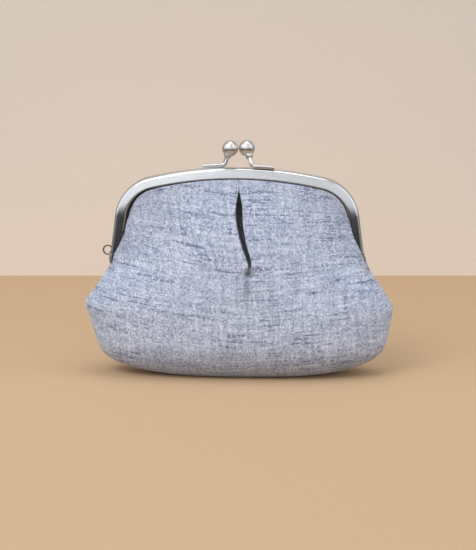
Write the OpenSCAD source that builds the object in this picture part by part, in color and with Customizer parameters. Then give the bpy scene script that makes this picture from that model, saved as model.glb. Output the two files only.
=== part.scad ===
// A clasp-top coin purse: two hinged channel frames with a ball snap, gripping a
// padded and lined cloth pouch that stands on its own rounded base.
// X runs along the mouth, Y from the front to the back, Z up from the table.

/* [Frame] */
// Width over the legs of the frame, at the height of the hinge
frame_w = 122; // [116:0.1:132]
// Height of the top of the frame above the table
crown_z = 99.7; // [94:0.1:106]
// Radius of the shallow arc along the top
crown_r = 189; // [160:1:220]
// Radius of the rounded shoulders
shoulder_r = 21.7; // [14:0.1:24]
// Outward lean of the legs, in degrees
leg_lean = 7.5; // [3:0.5:8]
// Height of the band that shows on the front and on the back
band_h = 5; // [4:0.1:6]
// Height of the inner lip of each channel
lip_h = 4.2; // [3.2:0.1:4.6]
// Depth of one half frame, front to back
channel_d = 4.6; // [4.2:0.1:5.4]
// Thickness of the sheet metal
wall = 0.7; // [0.5:0.05:0.8]
// Rounding of the outer edge of the band
edge_r = 1.5; // [1:0.1:1.8]
// Gap between the two closed half frames
frame_gap = 0.2; // [0.1:0.05:0.4]

/* [Hinge] */
// Height of the hinge pins
hinge_z = 55.5; // [52:0.1:60]
// Radius of the round ears that carry the pins
ear_r = 2.6; // [2.2:0.1:3]
// Thickness of one ear
ear_t = 0.8; // [0.6:0.05:1]
// Gap between the inner ear and the outer wall of its own leg
ear_inset = 0.1; // [0.05:0.05:0.3]
// How far the outer ear's face lies inside the end of the leg
ear_recess = 0.15; // [0:0.05:0.3]
// Gap from an ear to the channel that swings past it
ear_clearance = 0.4; // [0.3:0.05:0.8]
// Radius of a hinge pin
pin_r = 1; // [0.8:0.05:1.3]
// Running clearance of a pin in the ear that turns on it
pin_clearance = 0.05; // [0.02:0.01:0.1]
// Clearance of a pressed joint, such as a pin in its own ear
seat_clearance = 0.02; // [0.01:0.01:0.05]
// Radius of the pins' rounded heads
pin_head_r = 1.8; // [1.6:0.1:2.1]
// Thickness of the pins' heads
pin_head_t = 0.7; // [0.5:0.05:0.9]

/* [Clasp] */
// Diameter of the snap balls
ball_d = 7.7; // [6.5:0.1:8.4]
// Gap between the balls as they pass each other
ball_pass = 0.1; // [0.05:0.05:0.3]
// Height of the centres of the balls
ball_z = 108.8; // [107.5:0.1:113]
// How far each ball leans over the other half frame
ball_lean = 1; // [0.6:0.1:2.4]
// Radius of the stem under a ball
stem_r = 1; // [0.7:0.05:1.1]
// Radius of the forged knuckle where the bend becomes the stem
knuckle_r = 1.2; // [1.1:0.05:1.4]
// How deep the stem goes into the ball, from the ball's centre downwards
stem_stop = 0.4; // [0:0.1:1]
// Distance from the middle of the purse to the inner end of a clasp foot
foot_start = 8.2; // [7.6:0.1:9.5]
// Length of the foot along the top of the frame
foot_l = 8.9; // [7:0.1:12]
// Width of the foot, front to back
foot_w = 2.6; // [2.2:0.1:3.8]
// Thickness of the foot bar
foot_t = 1.8; // [1:0.05:2]
// Inside radius of the bend where the foot turns up into the stem
bend_r = 1; // [0.8:0.1:2]
// Radius of the collar under a ball
collar_r = 1.9; // [1.6:0.05:2]
// Height of the collar
collar_h = 1.3; // [0.9:0.1:1.6]

/* [Charm ring] */
// Height of the little wire eye on the left leg, above the hinge
ring_up = 5; // [4.9:0.1:10]
// Radius of the eye along the middle of its wire
ring_r = 2.15; // [1.7:0.05:2.4]
// Radius of the wire
wire_r = 0.4; // [0.3:0.05:0.5]
// Gap between the eye and the leg
ring_gap = 0.15; // [0.1:0.05:0.4]
// Radius of the flattened end of the wire inside the leg
ring_head_r = 0.85; // [0.7:0.05:1]

/* [Pouch] */
// Width of the pouch from corner to corner
bag_w = 148.4; // [138:0.1:154]
// Height of the widest corners
corner_z = 33; // [30:0.5:39]
// Depth of the pouch at its fullest
bag_d = 44; // [38:0.5:50]
// Height where the pouch is fullest
belly_z = 19; // [14:0.5:24]
// Width of the flat that the purse stands on
base_w = 74; // [60:1:90]
// Depth of the flat that the purse stands on
base_d = 17; // [12:0.5:22]
// Distance from the outside of the legs in to the top of the side seams
neck_inset = 3.9; // [3.6:0.1:5]
// Thickness of the outer cloth
cloth_t = 0.6; // [0.4:0.05:0.7]
// Thickness of the padding bonded behind the outer cloth
padding_t = 0.6; // [0.4:0.05:0.7]
// Thickness of the lining
lining_t = 0.4; // [0.3:0.05:0.45]
// Gap between two plies, and between a ply and the metal
ply_gap = 0.05; // [0.03:0.01:0.1]
// Gap between the inner ears and the raw edges of the plies in the channel
hem_gap = 0.2; // [0.1:0.05:0.4]
// Gap between the inner edge of the band and the bend where the plies leave it
mouth_gap = 0.3; // [0.2:0.05:0.5]
// Radius of the paper cord that is packed into the channel
cord_r = 0.6; // [0.45:0.05:0.65]
// How far the paper cord lies inside the outer edge of the frame
cord_inset = 3.1; // [2.6:0.1:3.4]

/* [Pleat] */
// Half width of the tuck below the middle of the frame
pleat_half_w = 1.7; // [1.2:0.1:2.4]
// Depth of the tuck
pleat_depth = 3.2; // [1.5:0.1:4]

/* [Hidden] */
$fn = 48;

metal = "silver";
cloth_colour = "lightsteelblue";
padding_colour = "whitesmoke";
lining_colour = "slategray";
paper_colour = "burlywood";

// The frame's outline is a crown arc, two shoulder arcs and two straight legs, all tangent.
frame_half = frame_w / 2;
crown_centre = [0, crown_z - crown_r];
leg_up = [-sin(leg_lean), cos(leg_lean)];
leg_out = [cos(leg_lean), sin(leg_lean)];
leg_foot = [frame_half, hinge_z];
from_crown = leg_foot - shoulder_r * leg_out - crown_centre;
along_leg = from_crown * leg_up;
leg_l = -along_leg
    + sqrt(along_leg * along_leg - from_crown * from_crown + pow(crown_r - shoulder_r, 2));
shoulder_centre = leg_foot + leg_l * leg_up - shoulder_r * leg_out;
to_shoulder = shoulder_centre - crown_centre;
crown_end = atan2(to_shoulder[1], to_shoulder[0]);

// A channel's lower end stays clear of the ear that turns past it.
channel_start = ear_r + ear_clearance;
toe_l = 2.4;
tab_l = 1;
tab_top = channel_start + tab_l;
half_gap = frame_gap / 2;

// Pieces of one solid run join_l into each other, and one of the two is join_swell fatter.
join_l = 0.1;
join_swell = 0.01;
front_y = half_gap + channel_d;
channel_mid = half_gap + channel_d / 2;

// The outer ear lies on the front half and the inner ear on the rear half.
outer_ear_x = frame_half - ear_recess - ear_t;
inner_ear_x = leg_x(hinge_z + tab_top, wall) - ear_inset - ear_t;

// The plies lie in this order from the band inwards.
cloth_y = front_y - wall - 2 * ply_gap;
padding_in = cloth_t + ply_gap;
lining_in = padding_in + padding_t + ply_gap;
cord_y = half_gap + wall + ply_gap + cord_r;
hem_inset = (leg_x(hinge_z + channel_start, 0) - inner_ear_x + hem_gap) * cos(leg_lean);
mouth_inset = band_h + mouth_gap;

// The pouch leaves the legs below their toes and flares out to its corners.
neck_half = frame_half - neck_inset;
flare_z = hinge_z - channel_start;
flare_power = 0.6;
side_power = 2.6;
front_power = 1.8;
corner_slope = 0.2;
belly_power = 7;
body_columns = 18;
lower_rows = 8;
upper_rows = 5;
top_rows = 6;
row_power = 1.6;

// Height of the arch x away from the middle, inset from the frame's outer edge.
function arch_z(x, inset) =
    let (
        crown = crown_r - inset,
        shoulder = shoulder_r - inset,
        leg_top = shoulder_centre + shoulder * leg_out,
        crown_x = crown_centre[0] + crown * cos(crown_end)
    )
    x <= crown_x ? crown_centre[1] + sqrt(crown * crown - x * x)
    : x <= leg_top[0] ? shoulder_centre[1]
        + sqrt(max(0, shoulder * shoulder - pow(x - shoulder_centre[0], 2)))
    : leg_top[1] - (x - leg_top[0]) / tan(leg_lean);

// Half width between the legs at height z, inset from the frame's outer edge.
function leg_x(z, inset) = frame_half - (z - hinge_z) * tan(leg_lean) - inset / cos(leg_lean);

// Half depth of the pouch at height z, below and above its fullest height.
function depth_at(z, top_z) =
    z < belly_z
        ? base_d / 2 + (bag_d - base_d) / 2 * sqrt(1 - pow(1 - z / belly_z, 2))
        : cloth_y + (bag_d / 2 - cloth_y)
            * (1 - pow(min(1, (z - belly_z) / (top_z - belly_z)), front_power));

// Half width of the pouch at height z, under the hinge.
function width_at(z) =
    z >= flare_z ? neck_half
    : z >= corner_z ? neck_half
        + (bag_w / 2 - neck_half) * pow((flare_z - z) / (flare_z - corner_z), flare_power)
    : let (s = z / corner_z)
        base_w / 2 + (bag_w - base_w) / 2
            * ((1 - corner_slope) * (1 - pow(1 - s, belly_power)) + corner_slope * s);

// How far the tuck draws the cloth in, x away from the middle, fading down to the hinge.
function tuck(x, z) =
    abs(x) >= pleat_half_w ? 0
    : pleat_depth * (1 - abs(x) / pleat_half_w)
        * sin(180 * (z - hinge_z) / (arch_z(0, mouth_inset) - hinge_z));

// Front of the pouch above the hinge, as a distance in front of the middle.
function front_at(x, z) =
    let (
        side = min(1, abs(x) / leg_x(z, mouth_inset)),
        full = depth_at(z, arch_z(abs(x), mouth_inset)) - cloth_y
    )
    cloth_y + full * sqrt(max(0, 1 - pow(side, side_power))) - tuck(x, z);

// Places along the right half of the arch, from the leg to the middle: a point on the
// frame's outer edge and the direction out of the frame there.
leg_steps = 4;
shoulder_steps = 5;
crown_steps = [0.8, 0.6, 0.4, 0.25, 0.12];
right_places = concat(
    [for (i = [0:leg_steps - 1])
        let (s = channel_start + (leg_l - channel_start) * i / leg_steps)
        [leg_foot + s * leg_up, leg_out]],
    [for (i = [0:shoulder_steps - 1])
        let (a = leg_lean + (crown_end - leg_lean) * i / shoulder_steps, n = [cos(a), sin(a)])
        [shoulder_centre + shoulder_r * n, n]],
    [for (x = concat(crown_steps * crown_r * cos(crown_end), [pleat_half_w]))
        let (a = acos(x / crown_r), n = [cos(a), sin(a)])
        [crown_centre + crown_r * n, n]],
    [[[0, crown_z], [0, 1]]]
);
last_place = len(right_places) - 1;
function flipped(place) = [[-place[0][0], place[0][1]], [-place[1][0], place[1][1]]];
places = concat(right_places, [for (i = [last_place - 1:-1:0]) flipped(right_places[i])]);

// One ply of the front above the hinge, from depth in to depth in + t behind the surface.
module top_ply(in, t) {
    low = hinge_z + ply_gap;
    rows = top_rows + 2;
    n = len(places);
    function at(i, j, back) =
        let (
            edge = places[i][0] - mouth_inset * places[i][1],
            hem = places[i][0] - hem_inset * places[i][1],
            z = low + (edge[1] - low) * j / top_rows
        )
        j <= top_rows
            ? [edge[0], back - front_at(edge[0], z), z]
            : [hem[0], back - cloth_y, hem[1]];
    face = [for (back = [in, in + t]) for (i = [0:n - 1]) for (j = [0:rows - 1]) at(i, j, back)];
    function id(side, i, j) = (side * n + i) * rows + j;
    polyhedron(face, concat(
        [for (i = [0:n - 2]) for (j = [0:rows - 2])
            for (f = [[id(0, i, j), id(0, i + 1, j), id(0, i + 1, j + 1)],
                      [id(0, i, j), id(0, i + 1, j + 1), id(0, i, j + 1)],
                      [id(1, i, j), id(1, i + 1, j + 1), id(1, i + 1, j)],
                      [id(1, i, j), id(1, i, j + 1), id(1, i + 1, j + 1)]]) f],
        [for (i = [0:n - 2])
            for (f = [[id(0, i, 0), id(1, i, 0), id(1, i + 1, 0)],
                      [id(0, i, 0), id(1, i + 1, 0), id(0, i + 1, 0)],
                      [id(0, i, rows - 1), id(1, i + 1, rows - 1), id(1, i, rows - 1)],
                      [id(0, i, rows - 1), id(0, i + 1, rows - 1), id(1, i + 1, rows - 1)]]) f],
        [for (j = [0:rows - 2])
            for (f = [[id(0, 0, j), id(1, 0, j + 1), id(1, 0, j)],
                      [id(0, 0, j), id(0, 0, j + 1), id(1, 0, j + 1)],
                      [id(0, n - 1, j), id(1, n - 1, j), id(1, n - 1, j + 1)],
                      [id(0, n - 1, j), id(1, n - 1, j + 1), id(0, n - 1, j + 1)]]) f]
    ));
}

// One ply of the front below the hinge, with half of the base, down to the seam at y = 0.
module body_ply(in, t) {
    high = hinge_z - ply_gap;
    n = body_columns + 1;
    rows = lower_rows + upper_rows + 2;
    function level(j) =
        j <= lower_rows ? corner_z * pow(j / lower_rows, row_power)
        : j <= lower_rows + upper_rows ? flare_z
            - (flare_z - corner_z) * pow(1 - (j - lower_rows) / upper_rows, row_power)
        : high;
    function at(i, j, o) =
        let (
            a = 90 - 180 * i / body_columns,
            z = level(j),
            w = width_at(z) - o,
            d = depth_at(z, arch_z(0, mouth_inset)) - o
        )
        [w * sign(a) * pow(abs(sin(a)), 2 / side_power), -d * cos(a), o + z * (high - o) / high];
    face = [for (o = [in, in + t]) for (i = [0:n - 1]) for (j = [0:rows - 1]) at(i, j, o)];
    function id(side, i, j) = (side * n + i) * rows + j;
    last = n - 1;
    polyhedron(face, concat(
        [for (i = [0:n - 2]) for (j = [0:rows - 2])
            for (f = [[id(0, i, j), id(0, i + 1, j), id(0, i + 1, j + 1)],
                      [id(0, i, j), id(0, i + 1, j + 1), id(0, i, j + 1)],
                      [id(1, i, j), id(1, i + 1, j + 1), id(1, i + 1, j)],
                      [id(1, i, j), id(1, i, j + 1), id(1, i + 1, j + 1)]]) f],
        [for (i = [0:n - 2])
            for (f = [[id(0, i, rows - 1), id(1, i + 1, rows - 1), id(1, i, rows - 1)],
                      [id(0, i, rows - 1), id(0, i + 1, rows - 1), id(1, i + 1, rows - 1)]]) f],
        [[for (i = [last:-1:0]) id(0, i, 0)], [for (i = [0:last]) id(1, i, 0)]],
        [for (j = [0:rows - 2])
            for (f = [[id(0, 0, j), id(1, 0, j + 1), id(1, 0, j)],
                      [id(0, 0, j), id(0, 0, j + 1), id(1, 0, j + 1)],
                      [id(0, last, j), id(1, last, j), id(1, last, j + 1)],
                      [id(0, last, j), id(1, last, j + 1), id(0, last, j + 1)]]) f],
        [[id(0, 0, 0), id(1, 0, 0), id(1, last, 0)], [id(0, 0, 0), id(1, last, 0), id(0, last, 0)]]
    ));
}

// Draws its children as the rear half of the purse has them.
module rear() mirror([0, 1, 0]) children();

// Stands a drawing of the arch up: its x and y become X and Z, and its z comes to the front.
module arch_frame() translate([0, -half_gap, 0]) rotate([90, 0, 0]) children();

// Fills from low to high with one rounded corner at the high end of both axes.
module rounded_block(low, high, r) {
    translate(low) square(high - low - [r, 0]);
    translate([high[0] - r, low[1]]) square([r, high[1] - low[1] - r]);
    translate(high - [r, r]) circle(r);
}

// Cross-section of a channel: the outer edge of the frame lies at x = 0, the seam between
// the halves at y = 0 and the face of the band at y = channel_d. Its metal is $swell fatter.
module channel_outline() {
    metal_in = wall + $swell;
    hollow_r = edge_r - wall;
    difference() {
        rounded_block([-band_h - $swell, -$swell], [$swell, channel_d + $swell], edge_r + $swell);
        rounded_block([-band_h - 1, metal_in], [-metal_in, channel_d - metal_in], hollow_r);
        translate([-band_h - 1, -1]) square([band_h + 1 - lip_h - $swell, 1 + wall + $swell + 0.01]);
    }
}

// Sweeps its 2D children along the arch, with the legs starting from_hinge above the pins.
// The children read $swell, which is join_swell in the shoulders and 0 elsewhere.
module along_arch(from_hinge) {
    crown_start = crown_end - join_l / crown_r * 180 / PI;
    $swell = 0;
    translate(crown_centre) rotate([0, 0, crown_start])
        rotate_extrude(angle = 180 - 2 * crown_start, $fn = 720) translate([crown_r, 0]) children();
    for (side = [0, 1]) mirror([side, 0, 0]) {
        translate(leg_foot + (leg_l + join_l) * leg_up) rotate([0, 0, leg_lean]) rotate([90, 0, 0])
            linear_extrude(leg_l + join_l - from_hinge) children();
        shoulder() children();
    }
}

// Sweeps its 2D children, a hair fatter, round the right shoulder.
module shoulder() {
    $swell = join_swell;
    translate(shoulder_centre) rotate([0, 0, leg_lean])
        rotate_extrude(angle = crown_end - leg_lean, $fn = 180) translate([shoulder_r, 0]) children();
}

// A front half frame. Its ears start at ear_x from the middle of the purse, and the tabs that
// carry them reach forward into the metal of the channel.
module half_frame(ear_x, hole_r, reach) {
    difference() {
        union() {
            difference() {
                arch_frame() along_arch(-toe_l) channel_outline();
                for (side = [0, 1]) mirror([side, 0, 0])
                    translate([frame_half - 2 * band_h, wall - front_y, hinge_z - 3 * ear_r])
                        cube([4 * band_h, channel_d, 3 * ear_r + channel_start]);
            }
            for (side = [0, 1]) mirror([side, 0, 0]) translate([ear_x, 0, hinge_z])
                rotate([90, 0, 90]) {
                    cylinder(r = ear_r, h = ear_t);
                    linear_extrude(ear_t) polygon([
                        [-half_gap, 0], [-half_gap, tab_top], [-reach, tab_top],
                        [-reach, channel_start], [-ear_r * 0.87, -ear_r * 0.5]
                    ]);
                }
        }
        for (side = [0, 1]) mirror([side, 0, 0]) translate([ear_x - 1, 0, hinge_z])
            rotate([0, 90, 0]) cylinder(r = hole_r, h = ear_t + 2);
    }
}

module front_frame() color(metal)
    half_frame(outer_ear_x, pin_r + seat_clearance, front_y - edge_r / 2);

module rear_frame() color(metal) difference() {
    rear() half_frame(inner_ear_x, pin_r + pin_clearance, front_y - wall / 2);
    ring_axis() translate([0, 0, -3 * wall])
        cylinder(r = wire_r + seat_clearance, h = 6 * wall);
}

// A rivet through both ears of one hinge, with a rounded head at each end.
module hinge_pin() {
    head_in = inner_ear_x - pin_clearance;
    head_out = outer_ear_x + ear_t + seat_clearance;
    color(metal) translate([0, 0, hinge_z]) rotate([0, 90, 0]) rotate_extrude() polygon([
        [0, head_in - pin_head_t], [pin_head_r, head_in - pin_head_t], [pin_head_r, head_in],
        [pin_r, head_in], [pin_r, head_out], [pin_head_r, head_out],
        [pin_head_r, head_out + pin_head_t / 2], [pin_head_r / 2, head_out + pin_head_t],
        [0, head_out + pin_head_t]
    ]);
}

module left_hinge_pin() mirror([1, 0, 0]) hinge_pin();

module right_hinge_pin() hinge_pin();

module cord_outline() translate([-cord_inset, 0]) circle(cord_r + $swell);

module paper_cord() {
    color(paper_colour) translate([0, half_gap - cord_y, 0]) arch_frame()
        along_arch(channel_start + cord_r) cord_outline();
}

module front_paper_cord() paper_cord();

module rear_paper_cord() rear() paper_cord();

// The clasp of the front half stands right of the middle and leans back over the rear half.
foot_r = crown_r + seat_clearance;
foot_from = asin(foot_start / foot_r);
foot_near = asin((foot_start + foot_t / 2) / foot_r);
foot_to = asin((foot_start + foot_l) / foot_r);
foot_end = [foot_r * sin(foot_from), -channel_mid, crown_centre[1] + foot_r * cos(foot_from)];
ball_x = (ball_d + ball_pass) / 2;
ball_at = [ball_x, ball_lean, ball_z];
bend_mid = bend_r + foot_t / 2;
bend_centre = foot_end + [0, 0, foot_t + bend_r];
rise = ball_z - bend_centre[2];
run = bend_centre[0] - ball_x;
bend_angle = 90 - atan2(run, rise) + asin(bend_mid / sqrt(run * run + rise * rise));
stem_foot = bend_centre - bend_mid * [sin(bend_angle), 0, cos(bend_angle)];
stem_way = (ball_at - stem_foot) / norm(ball_at - stem_foot);

// Turns +Z to the direction of the stem, from the centre of the ball.
module stem_axis() translate(ball_at)
    rotate([0, acos(stem_way[2]), atan2(stem_way[1], stem_way[0])]) children();

function arc_points(centre, r, from, to, steps) = [
    for (i = [0:steps]) let (a = from + (to - from) * i / steps) centre + r * [cos(a), sin(a)]
];

// The bar's edge, seen from the front: along the top of the frame and up round the bend.
bar_steps = 7;
bend_at = [bend_centre[0], bend_centre[2]];
bend_end = 270 - bend_angle;
bar_outline = concat(
    arc_points(crown_centre, foot_r, 90 - foot_to, 90 - foot_near, bar_steps),
    arc_points(bend_at, bend_r + foot_t, 270, bend_end, bar_steps),
    arc_points(bend_at, bend_r, bend_end, 270, bar_steps),
    arc_points(crown_centre, foot_r + foot_t, 90 - foot_near, 90 - foot_to, bar_steps)
);

module clasp_arm() color(metal) {
    translate([0, foot_w / 2 - channel_mid, 0]) rotate([90, 0, 0])
        linear_extrude(foot_w) polygon(bar_outline);
    translate(stem_foot) sphere(knuckle_r);
    stem_axis() translate([0, 0, -norm(ball_at - stem_foot)])
        cylinder(r = stem_r, h = norm(ball_at - stem_foot) - stem_stop);
}

module clasp_collar() {
    color(metal) stem_axis() translate([0, 0, -ball_d / 2 - collar_h]) difference() {
        union() {
            cylinder(r1 = collar_r * 0.8, r2 = collar_r, h = collar_h / 3);
            translate([0, 0, collar_h / 3]) cylinder(r = collar_r, h = collar_h * 2 / 3);
        }
        translate([0, 0, -1]) cylinder(r = stem_r + seat_clearance, h = collar_h + 2);
    }
}

module clasp_ball() {
    color(metal) difference() {
        translate(ball_at) sphere(ball_d / 2);
        stem_axis() translate([0, 0, -ball_d])
            cylinder(r = stem_r + seat_clearance, h = ball_d - stem_stop + seat_clearance);
    }
}

// The rear half's clasp is the front one's turned half round about the middle of the purse.
module turned() rotate([0, 0, 180]) children();

module front_clasp_arm() clasp_arm();
module front_clasp_collar() clasp_collar();
module front_clasp_ball() clasp_ball();
module rear_clasp_arm() turned() clasp_arm();
module rear_clasp_collar() turned() clasp_collar();
module rear_clasp_ball() turned() clasp_ball();

// Turns +Z to point out of the rear half's left leg, with its origin on the leg's outer face.
ring_z = hinge_z + ring_up;
module ring_axis() translate([-leg_x(ring_z, 0), channel_mid, ring_z])
    rotate([0, -90, 0]) children();

// A wire eye whose shank is riveted through the left leg.
module charm_ring() {
    eye = ring_gap + ring_r + wire_r;
    inside = -wall - ring_gap;
    color(metal) ring_axis() {
        translate([0, 0, eye]) rotate([90, 0, 0]) rotate_extrude()
            translate([ring_r, 0]) circle(wire_r);
        translate([0, 0, inside]) cylinder(r = wire_r, h = eye - ring_r - inside);
        translate([0, 0, inside - wire_r]) cylinder(r = ring_head_r, h = wire_r);
    }
}

module front_cloth_body() color(cloth_colour) body_ply(0, cloth_t);
module rear_cloth_body() color(cloth_colour) rear() body_ply(0, cloth_t);
module front_padding_body() color(padding_colour) body_ply(padding_in, padding_t);
module rear_padding_body() color(padding_colour) rear() body_ply(padding_in, padding_t);
module front_lining_body() color(lining_colour) body_ply(lining_in, lining_t);
module rear_lining_body() color(lining_colour) rear() body_ply(lining_in, lining_t);

module front_cloth_top() color(cloth_colour) top_ply(0, cloth_t);
module rear_cloth_top() color(cloth_colour) rear() top_ply(0, cloth_t);
module front_padding_top() color(padding_colour) top_ply(padding_in, padding_t);
module rear_padding_top() color(padding_colour) rear() top_ply(padding_in, padding_t);
module front_lining_top() color(lining_colour) top_ply(lining_in, lining_t);
module rear_lining_top() color(lining_colour) rear() top_ply(lining_in, lining_t);

front_cloth_body();
rear_cloth_body();
front_padding_body();
rear_padding_body();
front_lining_body();
rear_lining_body();
front_frame();
front_cloth_top();
front_padding_top();
front_lining_top();
front_paper_cord();
front_clasp_arm();
front_clasp_collar();
front_clasp_ball();
left_hinge_pin();
right_hinge_pin();
rear_frame();
rear_cloth_top();
rear_padding_top();
rear_lining_top();
rear_paper_cord();
rear_clasp_arm();
rear_clasp_collar();
rear_clasp_ball();
charm_ring();
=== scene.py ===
"""Dresses the clasp-frame coin purse: metal half frames, ball clasp, cloth pouch and its lining.

Every piece is an operator of this add-on; main() runs them in order. Lengths are in metres.
"""

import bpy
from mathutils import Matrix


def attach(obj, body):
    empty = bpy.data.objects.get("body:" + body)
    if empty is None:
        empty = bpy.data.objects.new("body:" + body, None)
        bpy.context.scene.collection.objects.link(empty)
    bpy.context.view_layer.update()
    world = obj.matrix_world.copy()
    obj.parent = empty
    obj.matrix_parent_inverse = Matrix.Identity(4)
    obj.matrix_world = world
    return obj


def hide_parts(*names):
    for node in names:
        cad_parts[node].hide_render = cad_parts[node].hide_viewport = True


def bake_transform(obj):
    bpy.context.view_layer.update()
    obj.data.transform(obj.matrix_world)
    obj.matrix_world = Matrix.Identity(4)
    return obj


bl_info = {
    "name": "Clasp frame coin purse",
    "version": (1, 0, 0),
    "blender": (4, 5, 0),
    "location": "3D View > Sidebar > Purse",
    "description": "Builds a coin purse with a hinged metal frame, a ball clasp and a cloth pouch",
    "category": "Object",
}

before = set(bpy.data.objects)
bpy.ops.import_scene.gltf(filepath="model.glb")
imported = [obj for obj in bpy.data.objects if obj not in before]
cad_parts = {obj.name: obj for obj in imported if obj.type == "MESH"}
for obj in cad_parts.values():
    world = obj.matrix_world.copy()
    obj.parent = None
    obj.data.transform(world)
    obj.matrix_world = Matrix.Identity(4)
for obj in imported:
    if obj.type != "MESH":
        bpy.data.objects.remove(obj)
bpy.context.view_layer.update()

import math

import bmesh
import bpy
import numpy as np
from bpy.props import FloatProperty, FloatVectorProperty, IntProperty, PointerProperty
from mathutils import Vector

MM = 0.001
FACE_DROP, FACE_POWER = 0.62 * MM, 1.25  # how the band's face slopes back to its outer edge
TOE_R = 1.6 * MM  # rounding of the toe below the hinge
EAR_R, EAR_T = 2.6 * MM, 0.8 * MM  # radius and thickness of the ears that carry the pins
CORD_INSET = 3.1 * MM  # from the frame's outer edge to the middle of the paper cord
SIDES = (("front", True, 4), ("rear", False, 9))  # name, is front, seed of its unevenness


# Sizes and colours that a user would change

def length(label, what, default, high=0.3):
    return FloatProperty(name=label, description=what, default=default, min=0.0, max=high,
                         subtype="DISTANCE", unit="LENGTH", precision=5)


def colour(label, what, default):
    return FloatVectorProperty(name=label, description=what, default=default, size=3,
                               min=0.0, max=1.0, subtype="COLOR")


class PurseFrameSizes(bpy.types.PropertyGroup):
    width: length("Width", "Width over the legs at the hinges", 0.122)
    crown_z: length("Crown height", "Height of the top of the frame", 0.0997)
    crown_r: length("Crown radius", "Radius of the arc along the top", 0.189, high=1.0)
    shoulder_r: length("Shoulder radius", "Radius of the rounded shoulders", 0.0217)
    leg_lean: FloatProperty(name="Leg lean", description="Outward lean of the legs",
                            default=math.radians(7.5), min=0.0, max=0.3, subtype="ANGLE")
    hinge_z: length("Hinge height", "Height of the hinge pins", 0.0555)
    band: length("Band", "Height of the visible band", 0.005)
    lip: length("Lip", "Height of the inner lip of the channel", 0.0042)
    depth: length("Channel depth", "Depth of one half frame", 0.0046)
    wall: length("Sheet", "Thickness of the sheet metal", 0.0007)
    edge_r: length("Edge rounding", "Rounding of the band's outer edge", 0.0015)
    seam: length("Seam", "Gap between the two half frames", 0.0002)
    toe: length("Toe", "How far the band runs on below the hinge", 0.0024)
    channel_start: length("Channel start", "Height of the channel's end above the hinge", 0.003)


class PurseClaspSizes(bpy.types.PropertyGroup):
    ball_d: length("Ball", "Diameter of the snap balls", 0.0077)
    ball_z: length("Ball height", "Height of the centres of the balls", 0.1088)
    ball_gap: length("Ball gap", "Gap between the balls", 0.0001)
    ball_lean: length("Ball lean", "How far a ball leans over the other half", 0.001)
    foot_start: length("Foot start", "Distance of the foot from the middle", 0.0082)
    foot_l: length("Foot length", "Length of the foot along the frame", 0.0089)
    foot_w: length("Foot width", "Width of the foot", 0.0026)
    foot_t: length("Foot thickness", "Thickness of the foot", 0.0018)
    bend_r: length("Bend", "Inside radius of the bend", 0.001)
    stem_r: length("Stem", "Radius of the stem", 0.001)
    collar_r: length("Collar", "Radius of the collar under a ball", 0.0019)
    shift: length("Shift", "How far right of the middle the clasp is soldered", 0.0007)
    collar_h: length("Collar height", "Height of the collar", 0.0013)


class PurseEyeSizes(bpy.types.PropertyGroup):
    up: length("Height", "Height of the eye above the hinge", 0.0037)
    radius: length("Radius", "Radius along the middle of the wire", 0.00215)
    wire: length("Wire", "Radius of the wire", 0.0004)
    pin_r: length("Pin", "Radius of a hinge pin", 0.001)
    head_r: length("Head", "Radius of a pin's heads", 0.0018)
    head_t: length("Head thickness", "Thickness of a pin's heads", 0.0007)


class PursePouchSizes(bpy.types.PropertyGroup):
    width: length("Width", "Width from corner to corner", 0.1484)
    corner_z: length("Corner height", "Height of the widest corners", 0.033)
    depth: length("Depth", "Depth where the pouch is fullest", 0.044)
    belly_z: length("Belly height", "Height where the pouch is fullest", 0.019)
    base_w: length("Base width", "Width of the flat base", 0.074)
    base_d: length("Base depth", "Depth of the flat base", 0.017)
    cloth_t: length("Cloth", "Thickness of the outer cloth", 0.0006)
    padding_t: length("Padding", "Thickness of the padding", 0.0006)
    lining_t: length("Lining", "Thickness of the lining", 0.0004)
    pleat_depth: length("Pleat depth", "How deep the pleat folds in", 0.0062)
    cord_r: length("Paper cord", "Radius of the paper cord in the channel", 0.0006)
    stitch: length("Stitch pitch", "Distance from one stitch to the next", 0.0022)


class PurseColours(bpy.types.PropertyGroup):
    cloth: colour("Cloth", "Body colour of the weave", (0.42, 0.475, 0.615))
    pale: colour("Pale thread", "Colour of the lightest threads", (0.72, 0.77, 0.90))
    slub: colour("Slub", "Colour of the dark dashed slubs", (0.06, 0.085, 0.19))
    lining: colour("Lining", "Colour of the lining", (0.33, 0.38, 0.47))
    metal: colour("Metal", "Colour of the brushed frame", (0.64, 0.655, 0.68))
    clasp: colour("Clasp", "Colour of the clasp", (0.68, 0.675, 0.67))
    floor: colour("Floor", "Colour of the floor", (0.56, 0.39, 0.24))
    wall: colour("Backdrop", "Colour of the backdrop", (0.745, 0.655, 0.575))


# Small helpers

def smooth(t):
    t = np.clip(t, 0.0, 1.0)
    return t * t * (3 - 2 * t)


def through(places, x):
    """A soft curve through a few (x, value) places."""
    xs = np.array([p[0] for p in places], float)
    ys = np.array([p[1] for p in places], float)
    x = np.clip(np.asarray(x, float), xs[0], xs[-1])
    slope = np.gradient(ys, xs)
    i = np.clip(np.searchsorted(xs, x) - 1, 0, len(xs) - 2)
    h = xs[i + 1] - xs[i]
    t = (x - xs[i]) / h
    return ((2 * t**3 - 3 * t**2 + 1) * ys[i] + (t**3 - 2 * t**2 + t) * h * slope[i]
            + (-2 * t**3 + 3 * t**2) * ys[i + 1] + (t**3 - t**2) * h * slope[i + 1])


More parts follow.
